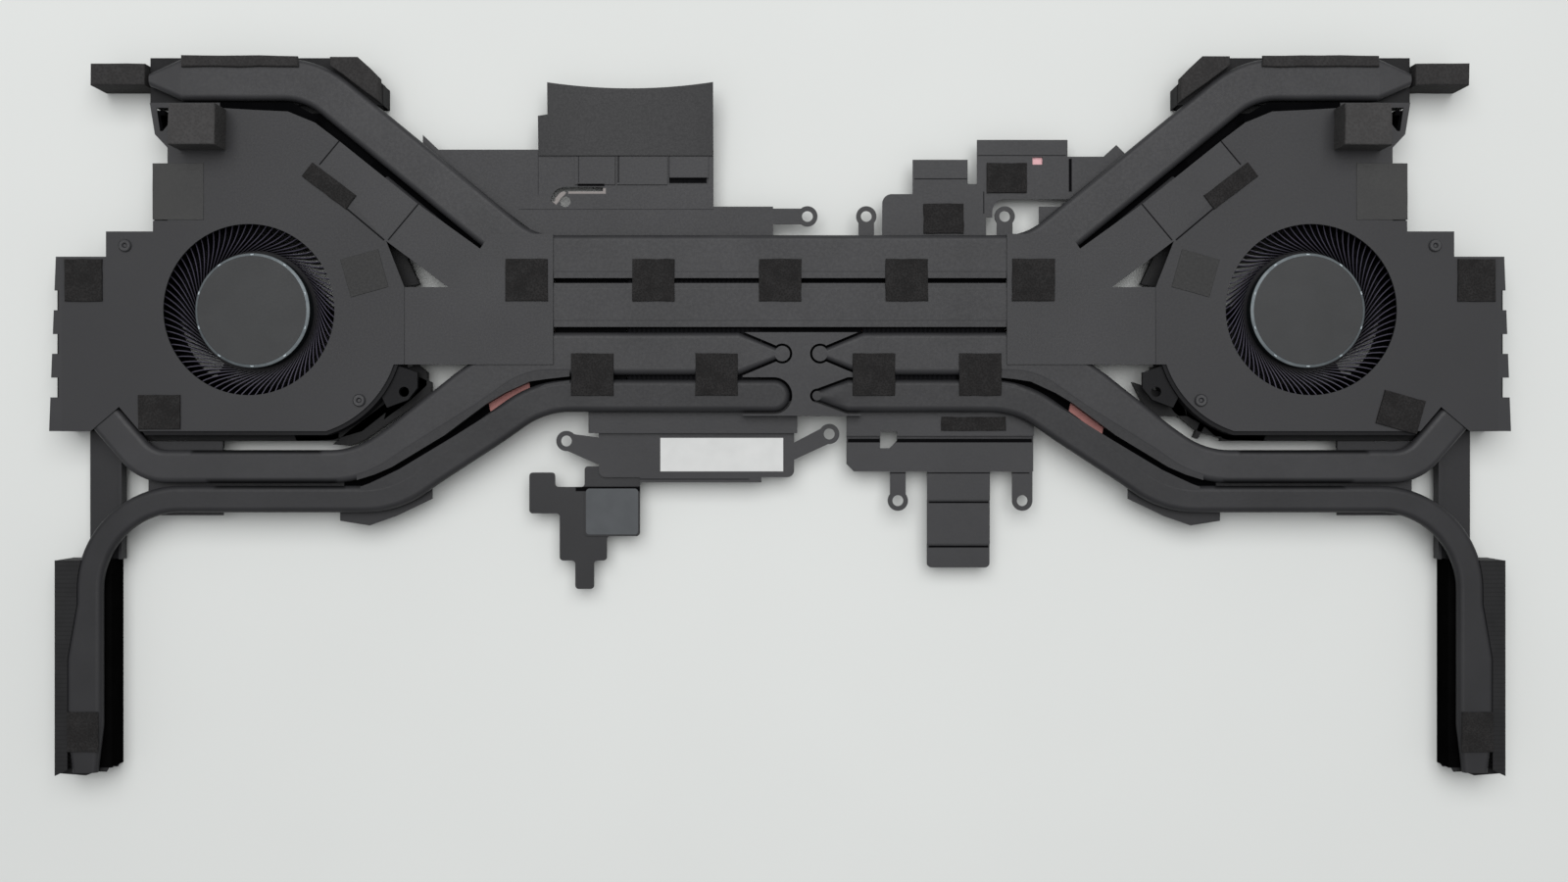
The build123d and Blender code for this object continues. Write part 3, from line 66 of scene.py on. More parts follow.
def linear(colour):
    """Linear RGBA of an sRGB hex colour."""
    channels = [int(colour[place:place + 2], 16) / 255 for place in (1, 3, 5)]
    return (*[c / 12.92 if c <= 0.04045 else ((c + 0.055) / 1.055) ** 2.4 for c in channels], 1.0)


def add_node(material, kind, settings=None, links=None):
    """Add a shader node, set its properties or sockets, and link other nodes' sockets into it."""
    node = material.node_tree.nodes.new(kind)
    for name, value in (settings or {}).items():
        if isinstance(name, str) and hasattr(node, name):
            setattr(node, name, value)
        else:
            node.inputs[name].default_value = value
    for name, socket in (links or {}).items():
        material.node_tree.links.new(socket, node.inputs[name])
    return node


def start_material(name):
    """New material, with its shader and the coordinates that its patterns read."""
    material = bpy.data.materials.new(name)
    material.use_nodes = True
    shader = material.node_tree.nodes["Principled BSDF"]
    place = add_node(material, "ShaderNodeTexCoord").outputs["Object"]
    return material, shader, place


def grained_finish(name, dark, pale, roughness, cloud, peel, sheen=0.3):
    """Smooth finish with faint clouds, as where enamel lies thicker, and a fine grain, as of its
    orange peel. The grain of enamel is drawn coarser than the real 0.2 mm so that it shows."""
    material, shader, place = start_material(name)
    clouds = add_node(
        material, "ShaderNodeTexNoise", {"Scale": 1 / cloud, "Detail": 4.0, "Roughness": 0.55},
        {"Vector": place}).outputs["Fac"]
    grain = add_node(
        material, "ShaderNodeTexNoise", {"Scale": 1 / peel, "Detail": 2.0, "Roughness": 0.5},
        {"Vector": place}).outputs["Fac"]
    blend = add_node(
        material, "ShaderNodeMapRange", {"From Min": 0.3, "From Max": 0.7}, {"Value": clouds})
    colour = add_node(
        material, "ShaderNodeMix", {"data_type": "RGBA", 6: linear(dark), 7: linear(pale)},
        {0: blend.outputs["Result"]})
    gloss = add_node(
        material, "ShaderNodeMapRange",
        {"From Min": 0.3, "From Max": 0.7, "To Min": roughness - 0.05, "To Max": roughness + 0.06},
        {"Value": grain})
    relief = add_node(
        material, "ShaderNodeBump", {"Strength": 0.35, "Distance": 0.02 * mm}, {"Height": grain})
    shader.inputs["Specular IOR Level"].default_value = sheen
    links = material.node_tree.links
    links.new(colour.outputs[2], shader.inputs["Base Color"])
    links.new(gloss.outputs["Result"], shader.inputs["Roughness"])
    links.new(relief.outputs["Normal"], shader.inputs["Normal"])
    return material


def dress(material, *nodes):
    """Give pieces of the frame a finish."""
    for node in nodes:
        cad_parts[node].material_slots[0].material = material


def pair(name):
    """Names of the left and the right one of two like pieces."""
    return "left_" + name, "right_" + name


pipe_enamel = grained_finish("pipe_enamel", "#29292b", "#313133", 0.47, pipe_cloud, pipe_peel)
# The front pipes, and the webs that widen them, get a darker copy of the same enamel: painted shade.
front_shaded_enamel = grained_finish("front_shaded_enamel", "#222224", "#29292b", 0.5, pipe_cloud, pipe_peel)
dress(pipe_enamel, "rear_heat_pipe", "middle_heat_pipe", *pair("side_heat_pipe"))
dress(front_shaded_enamel, *pair("front_heat_pipe"))

# Middle frame: a die-cast plate that fills the room round the pipes. The spray covers its upper
# faces, and the narrow floors beside the pipes are painted shade, nearly black and without shine.
frame_cloud = 24 * mm
sheet_peel = 0.5 * mm
spray_edge = 0.06 * mm
# Nearly black and without shine: painted shade for floors, folds, seams and slits in shadow.
painted_shade = "#09090a"
endless = 1.0
pipe_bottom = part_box("rear_heat_pipe")[0].z


def overlay(material, colour, mask):
    """Lay another colour over a finish where a mask is 1. Places in painted shade lose their shine too.
    """
    shader = material.node_tree.nodes["Principled BSDF"]
    under = shader.inputs["Base Color"].links[0].from_socket
    mixed = add_node(
        material, "ShaderNodeMix", {"data_type": "RGBA", 7: linear(colour)}, {0: mask, 6: under})
    material.node_tree.links.new(mixed.outputs[2], shader.inputs["Base Color"])
    if colour == painted_shade:
        metal = shader.inputs["Metallic"]
        settings = {"operation": "MAXIMUM", 0: metal.default_value}
        links = {0: metal.links[0].from_socket} if metal.links else {}
        dull = add_node(material, "ShaderNodeMath", settings, {**links, 1: mask})
        material.node_tree.links.new(dull.outputs["Value"], metal)


def mark(material, colour, middle, half_size, blur, turn=0.0):
    """Lay another colour over a finish inside a box with blurred faces, turned about its upright.
    A half size that is endless reaches past the whole object."""
    place = add_node(material, "ShaderNodeTexCoord").outputs["Object"]
    offset = add_node(
        material, "ShaderNodeVectorMath", {"operation": "SUBTRACT", 1: middle}, {0: place})
    squared = add_node(
        material, "ShaderNodeVectorRotate", {"rotation_type": "Z_AXIS", "Angle": -turn},
        {"Vector": offset.outputs["Vector"]})
    reach = add_node(
        material, "ShaderNodeVectorMath", {"operation": "ABSOLUTE"}, {0: squared.outputs["Vector"]})
    beyond = add_node(
        material, "ShaderNodeVectorMath", {"operation": "SUBTRACT", 1: half_size},
        {0: reach.outputs["Vector"]})
    parts = add_node(material, "ShaderNodeSeparateXYZ", links={0: beyond.outputs["Vector"]})
    flat = add_node(
        material, "ShaderNodeMath", {"operation": "MAXIMUM"},
        {0: parts.outputs["X"], 1: parts.outputs["Y"]})
    furthest = add_node(
        material, "ShaderNodeMath", {"operation": "MAXIMUM"},
        {0: flat.outputs["Value"], 1: parts.outputs["Z"]})
    mask = add_node(
        material, "ShaderNodeMapRange", {"From Min": blur, "From Max": -blur},
        {"Value": furthest.outputs["Value"]})
    overlay(material, colour, mask.outputs["Result"])


frame_enamel = grained_finish("frame_enamel", "#2c2c2e", "#323234", 0.5, frame_cloud, sheet_peel)
floor_start = 4 * mm
mark(
    frame_enamel, painted_shade, (0, endless + floor_start, 0),
    (endless, endless, pipe_bottom + spray_edge), spray_edge)
dress(frame_enamel, "pipe_frame")

# Cold plates: copper blocks machined flat below for the chips, set in windows of the frame.
# The cutter leaves fine straight lines on the bare face. The rest is nearly black and without
# shine, like the frame's floors: partly its black paint, partly painted shade.
cutter_line = 1.2 * mm
wave_turns = 20 / tau
plate_low, plate_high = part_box("left_cold_plate")
machined_copper, copper_shader, copper_place = start_material("machined_copper")
cutter_marks = add_node(
    machined_copper, "ShaderNodeTexWave",
    {"Scale": 1 / cutter_line / wave_turns, "Distortion": 1.5, "Detail": 2.0},
    {"Vector": copper_place})
copper_tone = add_node(
    machined_copper, "ShaderNodeMix",
    {"data_type": "RGBA", 6: linear("#b06a48"), 7: linear("#c98763")},
    {0: cutter_marks.outputs["Fac"]})
copper_gloss = add_node(
    machined_copper, "ShaderNodeMapRange", {"To Min": 0.28, "To Max": 0.42},
    {"Value": cutter_marks.outputs["Fac"]})
copper_shader.inputs["Metallic"].default_value = 1.0
machined_copper.node_tree.links.new(copper_tone.outputs[2], copper_shader.inputs["Base Color"])
machined_copper.node_tree.links.new(
    copper_gloss.outputs["Result"], copper_shader.inputs["Roughness"])
mark(
    machined_copper, painted_shade, (0, 0, plate_high.z),
    (endless, endless, (plate_high.z - plate_low.z) / 2), spray_edge)
dress(machined_copper, *pair("cold_plate"))

# Thin plates and brackets: aluminium stamped flat, folded along straight lines and riveted or
# soldered under the pipes. They carry the same enamel, and each fold, slot and seam is drawn as a
# dark line of painted shade.
sheet_cloud = 24 * mm
fold_blur = 0.12 * mm
lower_right_folds = {
    "riser": ((17.3, -6.1), (64.6, -6.1), 1.0),
    "shelf_edge": ((17.3, -3.9), (40.0, -3.9), 0.2),
    "front_bend": ((27.9, -14.4), (63.9, -14.4), 0.3),
    "tab_step": ((38.1, -21.9), (53.5, -21.9), 0.5),
    "tab_toe": ((38.1, -33.3), (53.5, -33.3), 0.6)}
lower_left_folds = {
    "riser": ((-47.9, -3.6), (7.3, -3.6), 1.0),
    "lip": ((-46.0, -16.0), (-8.0, -16.0), 0.2)}
step_folds = {"label_step": ((-52.5, -18.5), (-36.0, -18.5), 1.2)}
upper_right_folds = {
    "tower": ((34.4, 61.0), (47.9, 61.0), 0.25),
    "block": ((50.3, 67.0), (73.2, 67.0), 0.2),
    "block_side": ((74.4, 57.7), (74.4, 66.2), 0.8),
    "window_side": ((52.2, 52.1), (52.2, 57.7), 0.25)}
upper_left_folds = {
    "slot": ((-28.4, 60.6), (-18.8, 60.6), 1.4),
    "short_slot": ((-51.9, 59.4), (-45.0, 59.4), 0.6),
    "first_side": ((-51.6, 60.0), (-51.6, 68.0), 0.16),
    "second_side": ((-41.4, 60.0), (-41.4, 68.0), 0.3),
    "third_side": ((-28.4, 60.0), (-28.4, 68.0), 0.16),
    "plate_seam": ((-62.0, 57.0), (-62.0, 69.0), 0.08),
    "pipe_seam": ((-67.0, 53.2), (-17.0, 53.2), 0.1)}
seal_folds = {
    "far_seam": ((-116.7, 63.8), (-111.7, 69.8), 0.35),
    "cover_seam": ((-109.7, 52.6), (-100.3, 44.7), 0.4),
    "near_seam": ((-99.3, 44.7), (-91.6, 53.9), 0.35)}
sides = {"left": -1, "right": 1}


def draw_shade_lines(material, folds, flip=1):
    """Draw a dark line of painted shade along each fold: start, end and width, in millimetres."""
    for start, end, width in folds.values():
        across, along = end[0] - start[0], end[1] - start[1]
        middle = (flip * (start[0] + end[0]) / 2 * mm, (start[1] + end[1]) / 2 * mm, 0)
        half_size = (hypot(across, along) / 2 * mm, width / 2 * mm, endless)
        mark(material, painted_shade, middle, half_size, fold_blur, atan2(along, flip * across))


def sheet_with_shade_lines(name, folds, flip=1, dark="#2c2c2e", pale="#323234"):
    """Enamelled sheet with painted shade along its folds."""
    material = grained_finish(name, dark, pale, 0.5, sheet_cloud, sheet_peel)
    draw_shade_lines(material, folds, flip)
    return material


dress(sheet_with_shade_lines("rail_enamel", {}), *pair("side_rail"))
shaded_enamel = grained_finish("shaded_enamel", "#222224", "#272729", 0.55, sheet_cloud, sheet_peel)
dress(shaded_enamel, *pair("link_plate"), *pair("pipe_bracket"))
for side, sign in sides.items():
    seal_enamel = sheet_with_shade_lines(side + "_seal_enamel", seal_folds, -sign)
    dress(seal_enamel, side + "_seal_strip", side + "_bridge_plate")
dress(sheet_with_shade_lines("lower_right_enamel", lower_right_folds), "lower_right_bracket")
dress(sheet_with_shade_lines("lower_left_enamel", lower_left_folds), "lower_left_bracket")
dress(sheet_with_shade_lines("step_enamel", step_folds, 1, "#202022", "#262628"), "step_bracket")
dress(sheet_with_shade_lines("upper_right_enamel", upper_right_folds), "upper_right_plate")
upper_left_enamel = sheet_with_shade_lines("upper_left_enamel", upper_left_folds)
# Pale marks along the slot beside the hook stand in for light seen through it: painted light.
hook_painted_light = "#807a78"
hook_arm = (-49.5 * mm, 57.9 * mm, 0)
hook_arm_half = (4.8 * mm, 0.7 * mm, endless)
hook_bend = (-56.6 * mm, 56.3 * mm, 0)
hook_bend_half = (2.0 * mm, 0.6 * mm, endless)
hook_turn = radians(50)
mark(upper_left_enamel, hook_painted_light, hook_arm, hook_arm_half, fold_blur)
mark(upper_left_enamel, hook_painted_light, hook_bend, hook_bend_half, fold_blur, hook_turn)
dress(upper_left_enamel, "upper_left_plate")

# Fan covers: sheet stamped with a round inlet and laid over the scroll, held by two screws each.
# The same enamel, with slightly broader clouds from the wide flat spray.
cover_cloud = 40 * mm
for side, sign in sides.items():
    cover_enamel = grained_finish(
        side + "_cover_enamel", "#2b2b2d", "#2f2f31", 0.52, cover_cloud, sheet_peel)
    # The seams with the seal strips are drawn as dark lines of painted shade.
    draw_shade_lines(cover_enamel, seal_folds, -sign)
    dress(cover_enamel, side + "_fan_cover")

# Fin stacks: thin aluminium fins folded over at top and bottom so that they hook together, then
# soldered under the pipes. They are painted, and the deep gaps between them lie in shade.
fin_pitch = 1.1 * mm
fin_gauge = 0.2 * mm
fin_sheet = 0.3 * mm
fin_cloud = 6 * mm


def add_sheet(shape, corners, thickness):
    """Flat sheet with the given corners, thickened by a vector."""
    face = shape.faces.new([shape.verts.new(corner) for corner in corners])
    grown = bmesh.ops.extrude_face_region(shape, geom=[face])["geom"]
    moved = [part for part in grown if isinstance(part, bmesh.types.BMVert)]
    bmesh.ops.translate(shape, verts=moved, vec=thickness)


def make_piece(name, shape, material, body, slot, *replaced):
    """Turn a bmesh into a piece that rides on a body and stands for CAD nodes."""
    bmesh.ops.recalc_face_normals(shape, faces=shape.faces)
    mesh = bpy.data.meshes.new(name)
    shape.to_mesh(mesh)
    shape.free()
    mesh.materials.append(material)
    piece = bpy.data.objects.new(name, mesh)
    bpy.context.scene.collection.objects.link(piece)
    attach(piece, body)
    if replaced:
        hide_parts(*replaced)
    return piece


def fin_places(low, high):
    """Evenly spaced places of the fins between two ends of a stack."""
    count = round((high - low - fin_gauge) / fin_pitch)
    return [low + index * (high - low - fin_gauge) / count for index in range(count + 1)]


fin_paint = grained_finish("fin_paint", "#1f1f20", "#252526", 0.6, fin_cloud, sheet_peel, 0.15)
fin_place = add_node(fin_paint, "ShaderNodeTexCoord").outputs["Object"]
# Dark lines at the pitch of the fins on their painted tops: painted shade in the seams.
fin_seams = add_node(
    fin_paint, "ShaderNodeTexWave",
    {"bands_direction": "Y", "Scale": 1 / fin_pitch / wave_turns}, {"Vector": fin_place})
seam_shade_mask = add_node(
    fin_paint, "ShaderNodeMapRange", {"From Min": 0.75, "From Max": 1.0, "To Max": 0.35},
    {"Value": fin_seams.outputs["Fac"]})
overlay(fin_paint, "#0d0d0d", seam_shade_mask.outputs["Result"])

rear_paint = grained_finish("rear_paint", "#1e1e1f", "#242425", 0.7, fin_cloud, sheet_peel, 0.15)
rear_corner = 7 * mm
for side, sign in sides.items():
    node = side + "_rear_fin_stack"
    low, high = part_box(node)
    fin_foot, fin_head = low.z + fin_sheet / 2, high.z - fin_sheet / 2
    outer, inner = (low.x, high.x) if sign < 0 else (high.x, low.x)
    stack = bmesh.new()
    for x in fin_places(low.x, high.x):
        back = high.y - max(rear_corner - abs(x - inner), 0)
        add_sheet(
            stack,
            [(x, low.y, fin_foot), (x, back, fin_foot), (x, back, fin_head), (x, low.y, fin_head)],
            Vector((fin_gauge, 0, 0)))
    outline = [
        (outer, low.y), (inner, low.y), (inner, high.y - rear_corner),
        (inner + sign * rear_corner, high.y), (outer, high.y)]
    for z in (low.z, high.z - fin_sheet):
        add_sheet(stack, [(x, y, z) for x, y in outline], Vector((0, 0, fin_sheet)))
    make_piece(side + "_rear_fins", stack, rear_paint, "module", "painted_fins", node)


def stepped_fins(name, node, sign, step_edge, toe):
    """Stack of fins along Y that step down towards the middle, where a pipe lies on them.
    step_edge gives the distance from the middle at which the stack steps down at a place y, and toe
    gives the cut of the near end as shares of the width and depths."""
    low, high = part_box(node)
    outer = max(abs(low.x), abs(high.x))
    inner = min(abs(low.x), abs(high.x))
    toe_depth = max(depth for share, depth in toe)
    places = fin_places(low.y + toe_depth, high.y)
    edges = [min(max(step_edge(y), inner + fin_sheet), outer - fin_sheet) for y in places]
    cut = [(inner + (outer - inner) * share, low.y + depth) for share, depth in toe]
    lap = fin_sheet / 2
    stack = bmesh.new()
    for y, edge in zip(places, edges):
        outline = [
            (outer - fin_gauge, low.z + lap), (inner + fin_gauge, low.z + lap),
            (inner + fin_gauge, pipe_bottom - lap), (edge, pipe_bottom - lap),
            (edge, high.z - lap), (outer - fin_gauge, high.z - lap)]
        add_sheet(stack, [(sign * x, y, z) for x, z in outline], Vector((0, fin_gauge, 0)))
    for z in (low.z, pipe_bottom - fin_sheet):
        corners = [(inner, high.y), *cut, (outer, high.y)]
        add_sheet(stack, [(sign * x, y, z) for x, y in corners], Vector((0, 0, fin_sheet)))
    roof_toe = [(x, y) for x, y in cut if x > edges[0]]
    roof = [*zip(edges[::-1], [high.y, *places[-2::-1]]), *roof_toe, (outer, high.y)]
    add_sheet(
        stack, [(sign * x, y, high.z - fin_sheet) for x, y in roof], Vector((0, 0, fin_sheet)))
    make_piece(name, stack, fin_paint, "module", "painted_fins", node)


pipe_room = 0.8 * mm
side_pipe_x = 176.3 * mm
side_pipe_half = 4.2 * mm
side_turn_y = 5.2 * mm
side_climb = radians(49.5)
side_toe = [(0.0, 0.0), (1.0, 0.0)]


def side_step(y):
    """Outer edge of the room for the side pipe, which comes in at a slant."""
    if y > side_turn_y:
        return side_pipe_x + side_pipe_half + pipe_room
    slant = (side_turn_y - y) / tan(side_climb)
    return side_pipe_x - slant + (side_pipe_half + pipe_room) / sin(side_climb)


arm_rim = 2.3 * mm
arm_corner_x = 152.6 * mm
arm_corner_y = -44 * mm
arm_corner_radius = 26.7 * mm
arm_straight_y = -47.6 * mm
arm_wide_y = -61.5 * mm
arm_toe = [
    (0.0, 2.0 * mm), (0.06, 1.9 * mm), (0.1, 0.9 * mm), (0.3, 1.0 * mm), (0.5, 0.0), (1.0, 0.5 * mm)]
arm_lap = 0.9 * mm


def arm_step(y):
    """Outer edge of the room for the front pipe, which bends into the arm and then widens."""
    if y > arm_corner_y:
        return arm_corner_x - arm_lap + sqrt(arm_corner_radius ** 2 - (y - arm_corner_y) ** 2)
    start = arm_corner_x - arm_lap + arm_corner_radius
    seat = -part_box("left_front_fin_stack")[0].x - arm_rim - arm_lap
    share = min(max((arm_straight_y - y) / (arm_straight_y - arm_wide_y), 0), 1)
    return start + (seat - start) * share


for side, sign in sides.items():
    stepped_fins(side + "_side_fins", side + "_side_fin_stack", sign, side_step, side_toe)
    stepped_fins(side + "_front_fins", side + "_front_fin_stack", sign, arm_step, arm_toe)

# Arm shade sheets: the inner faces of the front stacks, and the ledge beside the pipes, are closed
# with black sheets without shine. They are painted shade, put where these sides lie in shade.
shade_sheet_gauge = 0.05 * mm
ledge = 3.4 * mm
shade_sheet_film = grained_finish("shade_sheet_film", "#050505", "#080808", 0.95, fin_cloud, sheet_peel, 0.0)
for side, sign in sides.items():
    low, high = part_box(side + "_front_fin_stack")
    inner = high.x if sign < 0 else low.x
    toe_y = low.y + arm_toe[0][1]
    shade_sheet = bmesh.new()
    add_sheet(
        shade_sheet,
        [(inner, toe_y, low.z), (inner, high.y, low.z),
         (inner, high.y, pipe_bottom), (inner, toe_y, pipe_bottom)],
        Vector((-sign * shade_sheet_gauge, 0, 0)))
    add_sheet(
        shade_sheet,
        [(inner, toe_y, pipe_bottom), (inner + sign * ledge, toe_y, pipe_bottom),
         (inner + sign * ledge, high.y, pipe_bottom), (inner, high.y, pipe_bottom)],
        Vector((0, 0, shade_sheet_gauge)))
    make_piece(side + "_arm_shade_sheet", shade_sheet, shade_sheet_film, "module", "film")

# Fan bases: moulded black plastic with a scroll wall, the intake ring and the motor boss. The
# mould was spark-eroded, which leaves a fine even grain.
spark_grain = 0.35 * mm
plastic_cloud = 12 * mm
base_plastic = grained_finish(
    "base_plastic", "#111113", "#161618", 0.6, plastic_cloud, spark_grain, 0.15)
# Towards the rear pipe, past duct_start, the base is drawn nearly black without shine: painted shade.
duct_start = 50 * mm
mark(
    base_plastic, painted_shade, (0, endless, 0), (endless, endless - duct_start, endless), spray_edge)
dress(base_plastic, *pair("fan_base"))

# Base skirts: what stands out past the covers, taken to be moulded in one with the bases: a rim
# along the near edge with two slots, a wall round the inner corner with a lug, a wedge at the neck.
skirt_bottom = 3.0 * mm
skirt_top = 5.5 * mm
skirt_slots = {
    "outer": ((-163.8, -3.9), (-146.4, -3.9), 1.0),
    "inner": ((-123.5, -3.9), (-114.0, -3.9), 1.0)}
skirt_outlines = {
    "rim": [
        (-165.0, -2.7), (-165.0, -6.2), (-152.5, -6.2), (-152.5, -8.0), (-143.4, -8.0), (-143.4, -6.2),
        (-113.2, -6.2), (-113.2, -2.7)],
    "wall": [
        (-124.8, -3.7), (-124.0, -6.2), (-114.7, -5.9), (-107.2, -3.7), (-101.1, 1.1), (-97.1, 6.9),
        (-95.1, 12.7), (-98.6, 13.7), (-100.6, 8.4), (-103.9, 3.6), (-109.2, -0.7), (-116.0, -2.9)],
    "neck": [(-101.4, 45.1), (-99.1, 39.1), (-97.1, 33.3), (-92.6, 34.1), (-97.1, 43.6)],
    "tape_notch": [(-160.5, 49.4), (-155.0, 49.4), (-155.0, 51.8), (-160.5, 51.8)],
    "duct_edge": [(-127.0, 74.0), (-116.0, 74.0), (-116.0, 80.0), (-127.0, 80.0)]}
lug_outlines = {
    "left": [
        [(-101.1, 1.1), (-97.1, 6.9), (-95.1, 12.7), (-93.3, 13.7), (-90.6, 11.4), (-90.6, 8.1),
         (-94.6, 4.4), (-101.6, -0.7)],
        [(-114.7, -7.1), (-110.4, -7.4), (-106.8, -6.0), (-99.5, -0.9), (-89.6, 5.7), (-89.6, 8.9),
         (-93.0, 10.4), (-101.7, 3.1), (-110.4, -3.4)]],
    "right": [
        [(-90.5, 8.9), (-93.4, 3.1), (-97.0, 0.2), (-104.3, 0.2), (-102.8, 4.5)],
        [(-104.3, 0.2), (-108.3, -2.0), (-111.6, -5.0), (-118.1, -5.2), (-116.6, -3.4), (-103.6, 6.0)],
        [(-106.1, -5.2), (-107.6, -1.6), (-109.0, -2.0), (-107.2, -5.6)]]}
for side, sign in sides.items():
    skirt_plastic = grained_finish(
        side + "_skirt_plastic", "#0f0f10", "#151516", 0.6, plastic_cloud, spark_grain, 0.2)
    # The two slots are dark lines of painted shade, not relief.
    draw_shade_lines(skirt_plastic, skirt_slots, -sign)
    skirt = bmesh.new()
    for outline in [*skirt_outlines.values(), *lug_outlines[side]]:
        add_sheet(
            skirt, [(-sign * x * mm, y * mm, skirt_bottom) for x, y in outline],
            Vector((0, 0, skirt_top - skirt_bottom)))
    make_piece(side + "_base_skirt", skirt, skirt_plastic, "module", "fan_plastic")

# Slit shades: black strips without shine in the slits between two pipes at the necks and the near
# bends, and one on the far edge of each cover at the rear pipe. They are painted shade.
slit_shade_bottom = 6.62 * mm
slit_shade_top = 7.1 * mm
duct_shade_gauge = 0.05 * mm
slit_shade_cloud = 6 * mm
neck_outline = [(-104.7, 64.1), (-77.1, 40.1), (-73.8, 43.8), (-101.4, 67.9)]
bend_outlines = {
    "left": [
        [(-111.3, -19.8), (-99.1, -14.6), (-74.0, 0.4), (-74.6, 4.3), (-99.1, -11.7), (-111.3, -16.6)],
        [(-63.6, 5.6), (-53.3, 7.9), (-53.3, 11.4), (-64.1, 9.9)]],
    "right": [
        [(-111.3, -19.8), (-99.1, -14.6), (-82.3, -5.0), (-82.9, -1.4), (-99.1, -11.7), (-111.3, -16.6)],
        [(-73.5, -0.2), (-63.6, 5.6), (-53.3, 7.9), (-53.3, 11.4), (-64.1, 9.9), (-74.2, 4.5)]]}
duct_shade_outline = [
    (-141.9, 79.6), (-141.9, 78.2), (-133.3, 77.7), (-124.7, 77.3), (-117.9, 74.5), (-117.2, 75.9),
    (-123.6, 79.6)]
slit_shade_black = grained_finish("slit_shade_black", "#060607", "#09090a", 0.9, slit_shade_cloud, sheet_peel, 0.0)
cover_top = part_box("left_fan_cover")[1].z
for side, sign in sides.items():
    slit_shade = bmesh.new()
    for outline in [neck_outline, *bend_outlines[side]]:
        add_sheet(
            slit_shade, [(-sign * x * mm, y * mm, slit_shade_bottom) for x, y in outline],
            Vector((0, 0, slit_shade_top - slit_shade_bottom)))
    add_sheet(
        slit_shade, [(-sign * x * mm, y * mm, cover_top) for x, y in duct_shade_outline],
        Vector((0, 0, duct_shade_gauge)))
    make_piece(side + "_pipe_slit_shade", slit_shade, slit_shade_black, "module", "pad")

# Pipe webs: strips that widen the side and front pipes at the near bends, nearly flush with their
# tops. They are taken to be sheet, soldered on and painted with the pipes.
web_bottom = 6.62 * mm
web_top = 9.55 * mm
web_outlines = {
    "front_pipe": [
        (-106.5, -17.8), (-104.3, -17.0), (-101.1, -15.5), (-96.7, -13.4), (-83.7, -5.6),
        (-73.5, 0.8), (-63.2, 6.4), (-59.6, 8.2), (-53.4, 9.2), (-53.4, 6.4), (-58.3, 5.5),
        (-64.5, 2.9), (-73.5, -3.4), (-83.7, -10.5), (-94.0, -17.2), (-101.1, -19.7),
        (-106.5, -20.6)],
    "side_pipe": [
        (-107.4, -16.1), (-102.9, -14.7), (-98.5, -12.8), (-85.1, -4.7), (-74.4, 3.3),
        (-69.9, 6.0), (-63.6, 8.9), (-59.6, 9.5), (-53.4, 10.2), (-53.4, 13.1),
        (-60.5, 12.9), (-65.4, 11.3), (-75.0, 5.5), (-85.1, -0.7), (-98.5, -9.2),
        (-102.9, -12.1), (-107.4, -14.6)]}
# Soft dark bands along the edges of the side and front pipes: painted shade.
shade_blur = 0.9 * mm
shade_half = (16 * mm, 0.25 * mm, endless)
side_far_shade = Vector((-133 * mm, -8.9 * mm, 0))
side_near_shade = Vector((-129 * mm, -16.7 * mm, 0))
front_far_shade = Vector((-127 * mm, -17.6 * mm, 0))
for side, sign in sides.items():
    mirrored = Vector((-sign, 1, 1))
    mark(pipe_enamel, painted_shade, side_far_shade * mirrored, shade_half, shade_blur)
    mark(pipe_enamel, painted_shade, side_near_shade * mirrored, shade_half, shade_blur)
    mark(front_shaded_enamel, painted_shade, front_far_shade * mirrored, shade_half, shade_blur)
    web = bmesh.new()
    for outline in web_outlines.values():
        add_sheet(
            web, [(-sign * x * mm, y * mm, web_bottom) for x, y in outline],
            Vector((0, 0, web_top - web_bottom)))
    make_piece(side + "_pipe_web", web, front_shaded_enamel, "module", "painted_sheet")

# Solder fillets: what fills the room beside the pipes in the middle rows, taken to be solder that
# was painted over. It leaves only narrow black lines between the rows.
fillet_top = 9.58 * mm
fillet_reach = 57.4 * mm
fillet_rows = {
    "rear_row_near": (32.0 * mm, 33.85 * mm),
    "rear_row_far": (35.15 * mm, 37.0 * mm),
    "middle_row_far": (22.75 * mm, 24.6 * mm)}
fillets = bmesh.new()
for near, far in fillet_rows.values():
    add_sheet(
        fillets,
        [(-fillet_reach, near, pipe_bottom), (fillet_reach, near, pipe_bottom),
         (fillet_reach, far, pipe_bottom), (-fillet_reach, far, pipe_bottom)],
        Vector((0, 0, fillet_top - pipe_bottom)))
make_piece("solder_fillets", fillets, pipe_enamel, "module", "painted_pipe")

# Motors: a sintered bronze sleeve in the boss, a steel stator wound with enamelled wire, a ground
# steel shaft and a ring of bonded ferrite in the cap.
metal_grain = 0.3 * mm
bronze_cloud = 2 * mm
wire_gauge = 0.4 * mm
wire_cloud = 1.2 * mm
steel_cloud = 3 * mm
ferrite_grain = 0.4 * mm
ferrite_cloud = 4 * mm


def set_metallic(material, share):
    """Make a finish metal, wholly or in part."""
    material.node_tree.nodes["Principled BSDF"].inputs["Metallic"].default_value = share


